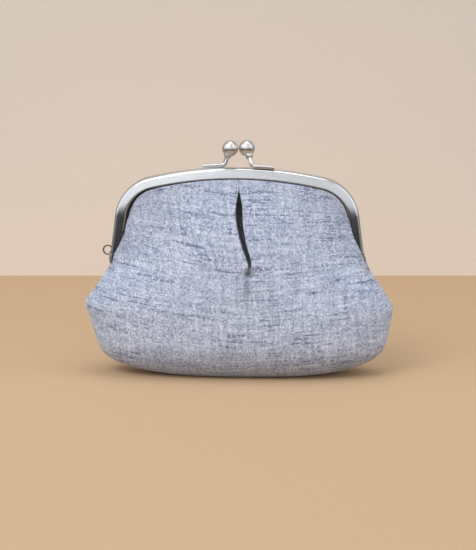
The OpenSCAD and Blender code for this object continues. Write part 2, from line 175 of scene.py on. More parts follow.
def add_object(name, points, faces, materials, face_uvs=None, values=None, sharp=None):
    """A mesh object at the origin. face_uvs has a pair for each corner, values are point attributes."""
    mesh = bpy.data.meshes.new(name)
    mesh.from_pydata([tuple(p) for p in points], [], [tuple(f) for f in faces])
    if face_uvs is not None:
        layer = mesh.uv_layers.new(name="UVMap")
        layer.data.foreach_set("uv", np.asarray(face_uvs, np.float32).ravel())
    for key, numbers in (values or {}).items():
        attribute = mesh.attributes.new(key, "FLOAT", "POINT")
        attribute.data.foreach_set("value", np.asarray(numbers, np.float32))
    for material in materials:
        mesh.materials.append(material)
    mesh.polygons.foreach_set("use_smooth", [True] * len(mesh.polygons))
    mesh.validate()
    mesh.update()
    if sharp is not None:
        mesh.set_sharp_from_angle(angle=sharp)
    obj = bpy.data.objects.new(name, mesh)
    bpy.context.scene.collection.objects.link(obj)
    return obj


class Shape:
    """Collects grids of points into one mesh with a UV map in metres."""

    def __init__(self):
        self.points, self.faces, self.uvs, self.extra = [], [], [], []

    def grid(self, p, u, v, closed=False, flip=False, extra=None, caps=(False, False)):
        """p is rows x columns x 3; u and v are the UV of each point. closed joins last column to first."""
        p = np.asarray(p, float)
        rows, cols = p.shape[:2]
        base = len(self.points)
        self.points.extend(p.reshape(-1, 3))
        self.extra.extend(np.zeros(rows * cols) if extra is None else np.asarray(extra).reshape(-1))
        u = np.broadcast_to(u, (rows, cols + closed))
        v = np.broadcast_to(v, (rows, cols + closed))
        for r in range(rows - 1):
            for c in range(cols - 1 + closed):
                d = (c + 1) % cols
                quad = [(r, c, c), (r, d, c + 1), (r + 1, d, c + 1), (r + 1, c, c)]
                if flip:
                    quad.reverse()
                self.faces.append([base + a * cols + b for a, b, _ in quad])
                self.uvs.extend((u[a, k], v[a, k]) for a, _, k in quad)
        for r, wanted in ((0, caps[0]), (rows - 1, caps[1])):
            if wanted:
                ring = [base + r * cols + c for c in range(cols)]
                spots = [(u[r, c], v[r, c]) for c in range(cols)]
                if (r == 0) != flip:
                    ring.reverse()
                    spots.reverse()
                self.faces.append(ring)
                self.uvs.extend(spots)

    def make(self, name, materials, extra=None, sharp=None, merge=None):
        values = {extra: self.extra} if extra else None
        obj = add_object(name, self.points, self.faces, materials, self.uvs, values, sharp)
        if merge:
            work = bmesh.new()
            work.from_mesh(obj.data)
            bmesh.ops.remove_doubles(work, verts=work.verts, dist=merge)
            bmesh.ops.recalc_face_normals(work, faces=work.faces)
            work.to_mesh(obj.data)
            work.free()
            if sharp is not None:
                obj.data.set_sharp_from_angle(angle=sharp)
        return obj


def lathe(shape, profile, centre, axis, sides=32, flute=None):
    """Turns (distance along axis, radius) pairs into a closed ring grid round an axis."""
    axis = Vector(axis).normalized()
    side = axis.orthogonal().normalized()
    up = axis.cross(side)
    angles = np.arange(sides) / sides * 2 * math.pi
    rows = []
    for along, radius in profile:
        r = radius * (flute(along, angles) if flute else np.ones(sides))
        rows.append(np.array(centre)[None] + along * np.array(axis)[None]
                    + r[:, None] * (np.cos(angles)[:, None] * np.array(side)[None]
                                    + np.sin(angles)[:, None] * np.array(up)[None]))
    rows = np.array(rows)
    run = np.array([0.0] + list(np.cumsum(np.hypot(*np.diff(np.array(profile), axis=0).T))))
    u = np.linspace(0, 2 * math.pi * max(r for _, r in profile), sides + 1)[None]
    shape.grid(rows, u, run[:, None], closed=True, caps=(profile[0][1] > 0, profile[-1][1] > 0))


# The outline of the frame

class Outline:
    """Crown arc, shoulder arcs and straight legs. at(d) walks it from the middle of the crown."""

    def __init__(self, s):
        self.s = s
        self.half = s.width / 2
        self.c = np.array([0.0, s.crown_z - s.crown_r])
        self.leg_up = np.array([-math.sin(s.leg_lean), math.cos(s.leg_lean)])
        self.leg_out = np.array([math.cos(s.leg_lean), math.sin(s.leg_lean)])
        foot = np.array([self.half, s.hinge_z])
        rel = foot - s.shoulder_r * self.leg_out - self.c
        along = rel @ self.leg_up
        self.leg_l = -along + math.sqrt(along**2 - rel @ rel + (s.crown_r - s.shoulder_r) ** 2)
        self.sc = foot + self.leg_l * self.leg_up - s.shoulder_r * self.leg_out
        self.end = math.atan2(*(self.sc - self.c)[::-1])
        self.crown_l = s.crown_r * (math.pi / 2 - self.end)
        self.shoulder_l = s.shoulder_r * (self.end - s.leg_lean)
        self.to_hinge = self.crown_l + self.shoulder_l + self.leg_l

    def at(self, d):
        """Points on the outer edge and the directions out of the frame, in x and z."""
        d = np.atleast_1d(np.asarray(d, float))
        a = np.abs(d)
        side = np.where(d < 0, -1.0, 1.0)
        crown = math.pi / 2 - a / self.s.crown_r
        turn = self.end - (a - self.crown_l) / self.s.shoulder_r
        turn = np.maximum(turn, self.s.leg_lean)
        ang = np.where(a <= self.crown_l, crown, turn)
        n = np.stack([np.cos(ang), np.sin(ang)], 1)
        p = np.where((a <= self.crown_l)[:, None], self.c + self.s.crown_r * n,
                     self.sc + self.s.shoulder_r * n)
        down = np.maximum(0, a - self.crown_l - self.shoulder_l)
        p = p - down[:, None] * self.leg_up
        p[:, 0] *= side
        n[:, 0] *= side
        return p, n

    def leg_x(self, z, inset=0.0):
        lean = self.s.leg_lean
        return self.half - (z - self.s.hinge_z) * math.tan(lean) - inset / math.cos(lean)

    def top_z(self, x, inset):
        """Height of the arch at x, a distance inset inside its outer edge."""
        x = np.abs(np.asarray(x, float))
        crown = self.s.crown_r - inset
        r = self.s.shoulder_r - inset
        split = self.c[0] + crown * math.cos(self.end)
        on_crown = self.c[1] + np.sqrt(np.maximum(0, crown**2 - x**2))
        on_shoulder = self.sc[1] + np.sqrt(np.maximum(0, r * r - (x - self.sc[0]) ** 2))
        return np.where(x <= split, on_crown, on_shoulder)


def outline():
    return Outline(bpy.context.scene.purse_frame)


# Shader node groups and materials

def new_group(name, inputs, outputs):
    group = bpy.data.node_groups.new(name, "ShaderNodeTree")
    for label, kind, default in inputs:
        socket = group.interface.new_socket(name=label, in_out="INPUT", socket_type=kind)
        if default is not None:
            socket.default_value = default
    for label, kind in outputs:
        group.interface.new_socket(name=label, in_out="OUTPUT", socket_type=kind)
    return group, group.nodes.new("NodeGroupInput"), group.nodes.new("NodeGroupOutput")


class Nodes:
    """Short words for building a node tree."""

    def __init__(self, tree):
        self.tree = tree

    def add(self, kind, **settings):
        node = self.tree.nodes.new(kind)
        for key, value in settings.items():
            setattr(node, key, value)
        return node

    def link(self, a, b):
        self.tree.links.new(a, b)

    def put(self, socket, value):
        if isinstance(value, bpy.types.NodeSocket):
            self.link(value, socket)
        else:
            socket.default_value = value

    def math(self, op, a, b=0.0, clamp=False):
        node = self.add("ShaderNodeMath", operation=op, use_clamp=clamp)
        self.put(node.inputs[0], a)
        self.put(node.inputs[1], b)
        return node.outputs[0]

    def map(self, vector, scale, location=(0, 0, 0)):
        node = self.add("ShaderNodeMapping")
        self.put(node.inputs["Vector"], vector)
        node.inputs["Scale"].default_value = scale
        node.inputs["Location"].default_value = location
        return node.outputs[0]

    def noise(self, vector, scale=1.0, detail=2.0, rough=0.5):
        node = self.add("ShaderNodeTexNoise")
        self.put(node.inputs["Vector"], vector)
        node.inputs["Scale"].default_value = scale
        node.inputs["Detail"].default_value = detail
        node.inputs["Roughness"].default_value = rough
        return node.outputs["Fac"]

    def ramp(self, value, low, high, to_low=0.0, to_high=1.0):
        node = self.add("ShaderNodeMapRange", clamp=True, interpolation_type="SMOOTHSTEP")
        self.put(node.inputs["Value"], value)
        node.inputs["From Min"].default_value = low
        node.inputs["From Max"].default_value = high
        node.inputs["To Min"].default_value = to_low
        node.inputs["To Max"].default_value = to_high
        return node.outputs["Result"]

    def mix(self, factor, a, b, blend="MIX"):
        node = self.add("ShaderNodeMix", data_type="RGBA", blend_type=blend)
        self.put(node.inputs[0], factor)
        for socket, value in ((node.inputs[6], a), (node.inputs[7], b)):
            if not isinstance(value, bpy.types.NodeSocket) and len(value) == 3:
                value = (*value, 1.0)
            self.put(socket, value)
        return node.outputs[2]

    def bump(self, height, distance, strength=1.0):
        node = self.add("ShaderNodeBump")
        node.inputs["Strength"].default_value = strength
        node.inputs["Distance"].default_value = distance
        self.put(node.inputs["Height"], height)
        return node.outputs["Normal"]


def weave_group():
    """Plain weave of pale warp and blue weft: a shade, a mask of dark dashed slubs, and a height."""
    name = "Chambray weave"
    if name in bpy.data.node_groups:
        return bpy.data.node_groups[name]
    group, gin, gout = new_group(
        name,
        [("Vector", "NodeSocketVector", None), ("Yarn", "NodeSocketFloat", 0.00060),
         ("Slub amount", "NodeSocketFloat", 1.0), ("Contrast", "NodeSocketFloat", 1.0)],
        [("Shade", "NodeSocketFloat"), ("Slubs", "NodeSocketFloat"), ("Height", "NodeSocketFloat")],
    )
    n = Nodes(group)
    bend = n.add("ShaderNodeVectorMath", operation="MULTIPLY_ADD")
    drift = n.add("ShaderNodeTexNoise")
    n.put(drift.inputs["Vector"], n.map(gin.outputs["Vector"], (24, 42, 1)))
    drift.inputs["Scale"].default_value = 1.0
    n.link(drift.outputs["Color"], bend.inputs[0])
    bend.inputs[1].default_value = (0.0008, 0.0022, 0.0)
    n.link(gin.outputs["Vector"], bend.inputs[2])
    vec = bend.outputs[0]
    split = n.add("ShaderNodeSeparateXYZ")
    n.link(vec, split.inputs[0])
    across = n.math("DIVIDE", split.outputs[0], gin.outputs["Yarn"])
    along = n.math("DIVIDE", split.outputs[1], gin.outputs["Yarn"])
    warp_no, weft_no = n.math("FLOOR", across), n.math("FLOOR", along)
    warp_at = n.math("SUBTRACT", n.math("FRACT", across), 0.5)
    weft_at = n.math("SUBTRACT", n.math("FRACT", along), 0.5)
    over = n.math("FLOORED_MODULO", n.math("ADD", warp_no, weft_no), 2.0)

    def yarn_tone(number, other, seed, slow):
        spot = n.add("ShaderNodeCombineXYZ")
        n.put(spot.inputs[0], n.math("MULTIPLY", number, 7.31))
        n.put(spot.inputs[1], n.math("MULTIPLY", other, slow))
        spot.inputs[2].default_value = seed
        return n.math("SUBTRACT", n.noise(spot.outputs[0], 1.0, 1.0, 0.5), 0.5)

    warp_tone = n.math("ADD", n.math("MULTIPLY", yarn_tone(warp_no, along, 3.3, 0.11), 0.8), 0.60)
    weft_tone = n.math("ADD", n.math("MULTIPLY", yarn_tone(weft_no, across, 8.7, 0.07), 1.1), 0.42)
    mixed = n.add("ShaderNodeMix", data_type="FLOAT")
    n.put(mixed.inputs[0], over)
    n.put(mixed.inputs[2], weft_tone)
    n.put(mixed.inputs[3], warp_tone)
    cell = n.add("ShaderNodeCombineXYZ")
    n.put(cell.inputs[0], warp_no)
    n.put(cell.inputs[1], weft_no)
    chance = n.add("ShaderNodeTexWhiteNoise", noise_dimensions="2D")
    n.link(cell.outputs[0], chance.inputs["Vector"])
    pick = n.add("ShaderNodeSeparateColor")
    n.link(chance.outputs["Color"], pick.inputs[0])
    speck = n.math("SUBTRACT", pick.outputs[0], 0.5)
    broad = n.math("SUBTRACT", n.noise(n.map(vec, (45, 300, 1), (2, 2, 4)), 1.0, 2.0, 0.5), 0.5)
    streak = n.math("SUBTRACT", n.noise(n.map(vec, (420, 26, 1), (6, 2, 7)), 1.0, 1.0, 0.5), 0.5)
    total = n.math("SUBTRACT", mixed.outputs[0], 0.5)
    for part, share in ((speck, 0.50), (broad, 0.35), (streak, 0.30)):
        total = n.math("ADD", total, n.math("MULTIPLY", part, share))
    shade = n.math("ADD", n.math("MULTIPLY", total, gin.outputs["Contrast"]), 0.5, clamp=True)
    n.link(shade, gout.inputs["Shade"])
    # some crossings show the dark yarn: few in the ground, many along a slub
    line = n.ramp(yarn_tone(weft_no, across, 1.9, 0.035), 0.06, 0.14)
    area = n.ramp(n.noise(n.map(vec, (20, 95, 1), (4, 8, 3)), 1.0, 1.0, 0.5), 0.38, 0.56)
    share = n.math("ADD", n.math("MULTIPLY", n.math("MULTIPLY", line, area), 0.62), 0.13)
    share = n.math("SUBTRACT", share, n.math("MULTIPLY", n.math("ADD", broad, streak), 0.45))
    dark = n.ramp(n.math("SUBTRACT", share, pick.outputs[1]), -0.02, 0.10)
    depth = n.math("ADD", n.math("MULTIPLY", pick.outputs[2], 0.45), n.math("MULTIPLY", line, 0.30))
    slubs = n.math("MULTIPLY", dark, n.math("ADD", depth, 0.22))
    n.link(n.math("MULTIPLY", slubs, gin.outputs["Slub amount"], clamp=True), gout.inputs["Slubs"])
    # each yarn is round across and dives at both ends of its float
    turn = math.pi
    crown_warp = n.math("MULTIPLY", n.math("COSINE", n.math("MULTIPLY", warp_at, turn)),
                        n.math("COSINE", n.math("MULTIPLY", weft_at, turn * 0.8)))
    crown_weft = n.math("MULTIPLY", n.math("COSINE", n.math("MULTIPLY", weft_at, turn)),
                        n.math("COSINE", n.math("MULTIPLY", warp_at, turn * 0.8)))
    height = n.add("ShaderNodeMix", data_type="FLOAT")
    n.put(height.inputs[0], over)
    n.put(height.inputs[2], crown_weft)
    n.put(height.inputs[3], crown_warp)
    rise = n.math("ADD", height.outputs[0], n.math("MULTIPLY", weft_tone, 0.35))
    rise = n.math("ADD", rise, n.math("MULTIPLY", speck, 0.6))
    n.link(n.math("ADD", rise, n.math("MULTIPLY", slubs, 0.4)), gout.inputs["Height"])
    return group


def brushing_group():
    """Fine scratches along U: an uneven value and a height."""
    name = "Brushed grain"
    if name in bpy.data.node_groups:
        return bpy.data.node_groups[name]
    group, gin, gout = new_group(
        name,
        [("Vector", "NodeSocketVector", None)],
        [("Value", "NodeSocketFloat"), ("Height", "NodeSocketFloat")],
    )
    n = Nodes(group)
    fine = n.noise(n.map(gin.outputs["Vector"], (120, 9000, 1)), 1.0, 3.0, 0.65)
    long = n.noise(n.map(gin.outputs["Vector"], (25, 2600, 1), (4, 1, 2)), 1.0, 2.0, 0.5)
    cloud = n.noise(n.map(gin.outputs["Vector"], (70, 200, 1), (1, 8, 3)), 1.0, 3.0, 0.5)
    value = n.math("ADD", n.math("MULTIPLY", fine, 0.5), n.math("MULTIPLY", long, 0.3))
    n.link(n.math("ADD", value, n.math("MULTIPLY", cloud, 0.2)), gout.inputs["Value"])
    n.link(n.math("ADD", fine, long), gout.inputs["Height"])
    return group


def material(name):
    """A new material with its node helper and Principled shader."""
    mat = bpy.data.materials.new(name)
    mat.use_nodes = True
    n = Nodes(mat.node_tree)
    shader = mat.node_tree.nodes["Principled BSDF"]
    return mat, n, shader


def uv_of(n):
    node = n.add("ShaderNodeUVMap")
    node.uv_map = "UVMap"
    return node.outputs[0]


def object_place(n):
    return n.add("ShaderNodeTexCoord").outputs["Object"]


def kept(name, build):
    return bpy.data.materials.get(name) or build(name)


def metal_material(name, tint, rough, aniso, grain):
    """Brushed metal whose scratches run along U."""
    mat, n, shader = material(name)
    group = n.add("ShaderNodeGroup", node_tree=brushing_group())
    uv = uv_of(n)
    n.link(uv, group.inputs["Vector"])
    value = group.outputs["Value"]
    dark = tuple(c * 0.86 for c in tint)
    n.link(n.mix(n.ramp(value, 0.35, 0.65), dark, tint), shader.inputs["Base Color"])
    n.link(n.ramp(value, 0.3, 0.7, rough - grain, rough + grain), shader.inputs["Roughness"])
    shader.inputs["Metallic"].default_value = 1.0
    shader.inputs["Anisotropic"].default_value = aniso
    shader.inputs["Anisotropic Rotation"].default_value = 0.25 if aniso else 0.0
    tangent = n.add("ShaderNodeTangent", direction_type="UV_MAP", uv_map="UVMap")
    n.link(tangent.outputs[0], shader.inputs["Tangent"])
    n.link(n.bump(group.outputs["Height"], 0.000006, 0.5), shader.inputs["Normal"])
    return mat


def frame_metal():
    tint = tuple(bpy.context.scene.purse_colours.metal)
    return kept("frame_brushed_metal", lambda name: metal_material(name, tint, 0.17, 0.50, 0.035))


def clasp_metal():
    tint = tuple(bpy.context.scene.purse_colours.clasp)
    return kept("clasp_satin_metal", lambda name: metal_material(name, tint, 0.29, 0.0, 0.10))


def dark_metal():
    return kept("pin_dark_metal", lambda name: metal_material(name, (0.24, 0.20, 0.17), 0.28, 0.0, 0.06))


def cloth_material(name, body, pale, dark, slub, slub_amount, contrast):
    mat, n, shader = material(name)
    group = n.add("ShaderNodeGroup", node_tree=weave_group())
    n.link(uv_of(n), group.inputs["Vector"])
    group.inputs["Slub amount"].default_value = slub_amount
    group.inputs["Contrast"].default_value = contrast
    shade = group.outputs["Shade"]
    tone = n.mix(n.ramp(shade, 0.05, 0.5), dark, body)
    tone = n.mix(n.ramp(shade, 0.5, 0.95), tone, pale)
    tone = n.mix(group.outputs["Slubs"], tone, slub)
    # painted shade: a point attribute darkens the weave towards near black in the pleat's slit, the gap
    # beside the band, the dimple and folds under the slit, and at the base
    painted_shade = n.add("ShaderNodeAttribute", attribute_name="painted_shade")
    tone = n.mix(n.math("MULTIPLY", painted_shade.outputs["Fac"], 0.93, clamp=True), tone, (0.022, 0.017, 0.016))
    n.link(tone, shader.inputs["Base Color"])
    n.link(n.ramp(shade, 0.0, 1.0, 0.93, 0.80), shader.inputs["Roughness"])
    shader.inputs["Specular IOR Level"].default_value = 0.25
    shader.inputs["Sheen Weight"].default_value = 0.22
    shader.inputs["Sheen Roughness"].default_value = 0.45
    n.link(n.bump(group.outputs["Height"], 0.00012, 0.55), shader.inputs["Normal"])
    return mat


def outer_cloth():
    c = bpy.context.scene.purse_colours
    dark = tuple(v * k for v, k in zip(c.cloth, (0.50, 0.52, 0.60)))
    return kept("outer_slub_cloth", lambda name: cloth_material(
        name, tuple(c.cloth), tuple(c.pale), dark, tuple(c.slub), 0.9, 1.0))


def lining_cloth():
    c = bpy.context.scene.purse_colours
    pale = tuple(min(1.0, v * 1.35) for v in c.lining)
    dark = tuple(v * 0.72 for v in c.lining)
    return kept("lining_cotton", lambda name: cloth_material(
        name, tuple(c.lining), pale, dark, dark, 0.15, 0.6))


def fleece_material():
    def build(name):
        mat, n, shader = material(name)
        place = object_place(n)
        fuzz = n.noise(place, 900.0, 4.0, 0.7)
        clump = n.noise(place, 160.0, 2.0, 0.5)
        pale = n.ramp(n.math("ADD", fuzz, clump), 0.8, 1.2)
        n.link(n.mix(pale, (0.70, 0.68, 0.63), (0.90, 0.89, 0.86)), shader.inputs["Base Color"])
        n.link(n.ramp(clump, 0.3, 0.7, 0.85, 0.97), shader.inputs["Roughness"])
        shader.inputs["Sheen Weight"].default_value = 0.3
        n.link(n.bump(fuzz, 0.0003, 0.6), shader.inputs["Normal"])
        return mat
    return kept("padding_fleece", build)


def paper_material():
    def build(name):
        mat, n, shader = material(name)
        uv = uv_of(n)
        fibre = n.noise(n.map(uv, (700, 3000, 1)), 1.0, 3.0, 0.6)
        spot = n.noise(n.map(uv, (200, 300, 1)), 1.0, 2.0, 0.5)
        pale = n.ramp(n.math("ADD", fibre, spot), 0.75, 1.25)
        n.link(n.mix(pale, (0.52, 0.40, 0.26), (0.78, 0.66, 0.48)), shader.inputs["Base Color"])
        n.link(n.ramp(fibre, 0.3, 0.7, 0.8, 0.95), shader.inputs["Roughness"])
        n.link(n.bump(fibre, 0.00008, 0.6), shader.inputs["Normal"])
        return mat
    return kept("twisted_paper", build)


def thread_material():
    def build(name):
        mat, n, shader = material(name)
        place = object_place(n)
        ply = n.noise(place, 3500.0, 2.0, 0.5)
        pale = n.ramp(ply, 0.35, 0.65)
        n.link(n.mix(pale, (0.42, 0.47, 0.58), (0.78, 0.82, 0.90)), shader.inputs["Base Color"])
        n.link(n.ramp(ply, 0.3, 0.7, 0.6, 0.8), shader.inputs["Roughness"])
        n.link(n.bump(ply, 0.00005, 0.5), shader.inputs["Normal"])
        return mat
    return kept("seam_thread", build)


# The half frames

def channel_profile(s):
    """The closed outline of the channel's metal as (inset from the outer edge, depth from the seam)."""
    def arc(cx, cy, r, a, b, steps):
        return [(cx + r * math.cos(math.radians(a + (b - a) * i / steps)),
                 cy + r * math.sin(math.radians(a + (b - a) * i / steps))) for i in range(steps + 1)]
    w, d, h, lip, big = s.wall, s.depth, s.band, s.lip, s.edge_r
    small = w * 0.48
    # the face slopes back towards the outer edge and turns into it in one wide rounding
    drop, power = FACE_DROP, FACE_POWER
    tilt = math.degrees(math.atan(drop * power / (h - small - big)))
    wide = big / (1 - math.sin(math.radians(tilt)))
    pts = arc(lip - small, small, small, 0, -90, 5)
    pts += arc(small, small, small, 270, 180, 5)
    pts += arc(wide, d - drop - wide * math.cos(math.radians(tilt)), wide, 180, 90 + tilt, 16)
    for k in range(1, 10):
        t = 1 - k / 10
        pts.append((big + (h - small - big) * k / 10, d - drop * t**power))
    pts += arc(h - small, d - small, small, 90, -90, 8)
    low = d - w
    for k in range(1, 6):
        t = k / 6
        pts.append((h - small - (h - small - wide) * t, low - drop * t**power))
    pts += arc(wide, d - drop - wide * math.cos(math.radians(tilt)), wide - w, 90 + tilt, 180, 8)
    pts += arc(w + small * 0.6, w + small * 0.6, small * 0.6, 180, 270, 3)
    pts += arc(lip - small, small, small, 90, 0, 5)[:-1]
    return pts


def along_arch(o, front, d, sections):
    """Sets sections of (inset, depth) on the arch at the distances d from its middle."""
    p, n = o.at(d)
    xz = p[:, None, :] - sections[..., :1] * n[:, None, :]
    y = (-1.0 if front else 1.0) * (sections[..., 1] + o.s.seam / 2)
    return np.stack([xz[..., 0], np.broadcast_to(y, xz.shape[:2]), xz[..., 1]], -1)


def add_channel(shape, o, front):
    """Sweeps the pressed channel over the arch, down to just above the hinges."""
    s = o.s
    crown = np.linspace(0, o.crown_l, 60)
    shoulder = np.linspace(o.crown_l, o.crown_l + o.shoulder_l, 40)[1:]
    leg = np.linspace(o.crown_l + o.shoulder_l, o.to_hinge - s.channel_start, 16)[1:]
    right = np.concatenate([crown, shoulder, leg])
    d = np.concatenate([-right[:0:-1], right])
    profile = np.array(channel_profile(s))
    step = np.hypot(*np.diff(np.vstack([profile, profile[:1]]), axis=0).T)
    v = np.concatenate([[0], np.cumsum(step)])[None]
    shape.grid(along_arch(o, front, d, profile[None]), d[:, None], v, closed=True, flip=front,
               caps=(True, True))


def add_toe(shape, o, front, side):
    """Runs the band on below the hinge as a flat strip with a rounded end."""
    s = o.s
    around = [2 * math.pi * k / 28 for k in range(28)]
    along = np.concatenate([[0.0], np.linspace(0.3, 1, 16)]) * (s.channel_start + s.toe)
    rows = []
    for a in along:
        left = max(0.0, TOE_R - (along[-1] - a))
        pinch = TOE_R - math.sqrt(max(0.0, TOE_R**2 - left**2))
        loop = []
        for cx, cy in ((math.cos(ang), math.sin(ang)) for ang in around):
            inset = s.band / 2 - math.copysign(abs(cx) ** 0.35, cx) * (s.band / 2 - pinch)
            edge = max(0.0, (s.edge_r - inset) / s.edge_r)
            slope = FACE_DROP * max(0.0, 1 - inset / s.band) ** FACE_POWER + 0.9 * MM * edge**2.4
            loop.append((inset, s.depth - s.wall / 2 * (1 - math.copysign(abs(cy) ** 0.5, cy)) - slope))
        rows.append(loop)
    d = side * (o.to_hinge - s.channel_start + along)
    v = np.linspace(0, 2 * (s.band + s.wall), 29)[None]
    shape.grid(along_arch(o, front, d, np.array(rows)), d[:, None], v, closed=True,
               flip=(front != (side < 0)), caps=(True, True))


def add_ear(shape, o, front, side):
    """Adds the ear that carries a pin: a disc with a hole, widened into a tab under the channel."""
    s = o.s
    tab_top = s.channel_start + 1 * MM
    hole = (1.02 if front else 1.05) * MM
    x_in = o.leg_x(s.hinge_z + tab_top, s.wall) - 0.9 * MM
    x_ear = o.half - 0.95 * MM if front else x_in
    reach = (s.seam / 2 + s.depth) - (s.edge_r / 2 if front else s.wall / 2)
    corner = [(EAR_R * 0.87, -EAR_R * 0.5), (reach, s.channel_start), (reach, tab_top), (0.0, tab_top)]
    inner, outer = [], []
    for k in range(48):
        ang = 2 * math.pi * k / 48 - math.pi / 2
        inner.append((hole * math.cos(ang), hole * math.sin(ang)))
        y, z = EAR_R * math.cos(ang), EAR_R * math.sin(ang)
        if -0.52 < ang < math.pi / 2 + 0.001:
            run = (ang + 0.52) / (math.pi / 2 + 0.52) * 3
            i = min(2, int(run))
            f = run - i
            y, z = (a * (1 - f) + b * f for a, b in zip(corner[i], corner[i + 1]))
        outer.append((y, z))
    far = x_ear + EAR_T
    rows = [[(side * x, (-1.0 if front else 1.0) * y, s.hinge_z + z) for y, z in loop]
            for x, loop in ((x_ear, inner), (x_ear, outer), (far, outer), (far, inner), (x_ear, inner))]
    u = np.linspace(0, 2 * math.pi * EAR_R, 49)[None]
    shape.grid(np.array(rows), u, np.array([0, 0.002, 0.0028, 0.0048, 0.0056])[:, None], closed=True)


def half_frame(name, front, node):
    """One pressed channel with its toes and ears, and scratches along the arch."""
    o = outline()
    shape = Shape()
    add_channel(shape, o, front)
    for add in (add_toe, add_ear):
        for side in (-1, 1):
            add(shape, o, front, side)
    obj = shape.make(name, [frame_metal()], sharp=math.radians(40), merge=0.2e-6)
    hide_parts(node)
    return obj


class PurseMakeFrames(bpy.types.Operator):
    """Makes the two pressed metal half frames"""
    bl_idname = "purse.make_frames"
    bl_label = "Half frames"

    def execute(self, context):
        for name, front in (("front", True), ("rear", False)):
            obj = half_frame(f"{name}_frame_band", front, f"{name}_frame")
            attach(obj, f"{name}_half")
        return {"FINISHED"}


# The clasp

def tube(shape, path, radii, sides):
    """Sweeps a section along a path. radii has (across, up, squareness) for each point."""
    path = [Vector(p) for p in path]
    count = len(path)
    side_guess = Vector((0, 1, 0))
    rows = []
    run = 0.0
    runs = []
    for i, p in enumerate(path):
        way = (path[min(i + 1, count - 1)] - path[max(i - 1, 0)]).normalized()
        across = (side_guess - way * side_guess.dot(way)).normalized()
        up = way.cross(across)
        ra, rb, power = radii[i]
        row = []
        for k in range(sides):
            ang = 2 * math.pi * k / sides
            ca, sa = math.cos(ang), math.sin(ang)
            a = math.copysign(abs(ca) ** power, ca) * ra
            b = math.copysign(abs(sa) ** power, sa) * rb
            row.append(tuple(p + across * a + up * b))
        rows.append(row)
        runs.append(run)
        if i + 1 < count:
            run += (path[i + 1] - p).length
    v = np.linspace(0, 2 * math.pi * max(r[0] for r in radii), sides + 1)[None]
    shape.grid(np.array(rows), np.array(runs)[:, None], v, closed=True, caps=(True, True))


def clasp_places(front):
    """The foot's arc, the bend and the straight stem of one clasp arm, as the CAD has them."""
    s, c = bpy.context.scene.purse_frame, bpy.context.scene.purse_clasp
    centre_z = s.crown_z - s.crown_r
    foot_r = s.crown_r + 0.02 * MM
    mid_y = -(s.seam / 2 + s.depth / 2)
    r = foot_r + c.foot_t / 2
    a_near = math.asin((c.foot_start + c.foot_t / 2) / foot_r)
    a_far = math.asin((c.foot_start + c.foot_l) / foot_r)
    foot_end = Vector((foot_r * math.sin(math.asin(c.foot_start / foot_r)), mid_y,
                       centre_z + foot_r * math.cos(math.asin(c.foot_start / foot_r))))
    bend = foot_end + Vector((0, 0, c.foot_t + c.bend_r))
    ball = Vector(((c.ball_d + c.ball_gap) / 2, c.ball_lean, c.ball_z))
    mid = c.bend_r + c.foot_t / 2
    rise, run = ball.z - bend.z, bend.x - ball.x
    angle = math.pi / 2 - math.atan2(run, rise) + math.asin(mid / math.hypot(run, rise))
    stem = bend - mid * Vector((math.sin(angle), 0, math.cos(angle)))
    path, radii = [], []
    for i in range(13):
        a = a_far + (a_near - a_far) * i / 12
        path.append(Vector((r * math.sin(a), mid_y, centre_z + r * math.cos(a))))
        radii.append((c.foot_w / 2, c.foot_t / 2, 0.55))
    for i in range(1, 13):
        t = i / 12
        a = angle * t
        path.append(bend - mid * Vector((math.sin(a), 0, math.cos(a))))
        k = t * t * (3 - 2 * t)
        radii.append((c.foot_w / 2 * (1 - k) + c.stem_r * 1.1 * k,
                      c.foot_t / 2 * (1 - k) + c.stem_r * 1.1 * k, 0.55 + 0.45 * k))
    way = (ball - stem).normalized()
    stem_l = (ball - stem).length
    for i in range(1, 9):
        t = i / 8
        path.append(stem + way * (stem_l - c.ball_d * 0.3) * t)
        radii.append((c.stem_r * (1.1 - 0.14 * t), c.stem_r * (1.1 - 0.14 * t), 1.0))
    if not front:
        path = [Vector((-p.x, -p.y, p.z)) for p in path]
        ball = Vector((-ball.x, -ball.y, ball.z))
        way = Vector((-way.x, -way.y, way.z))
    aside = Vector((c.shift, 0, 0))
    return [p + aside for p in path], radii, ball + aside, way


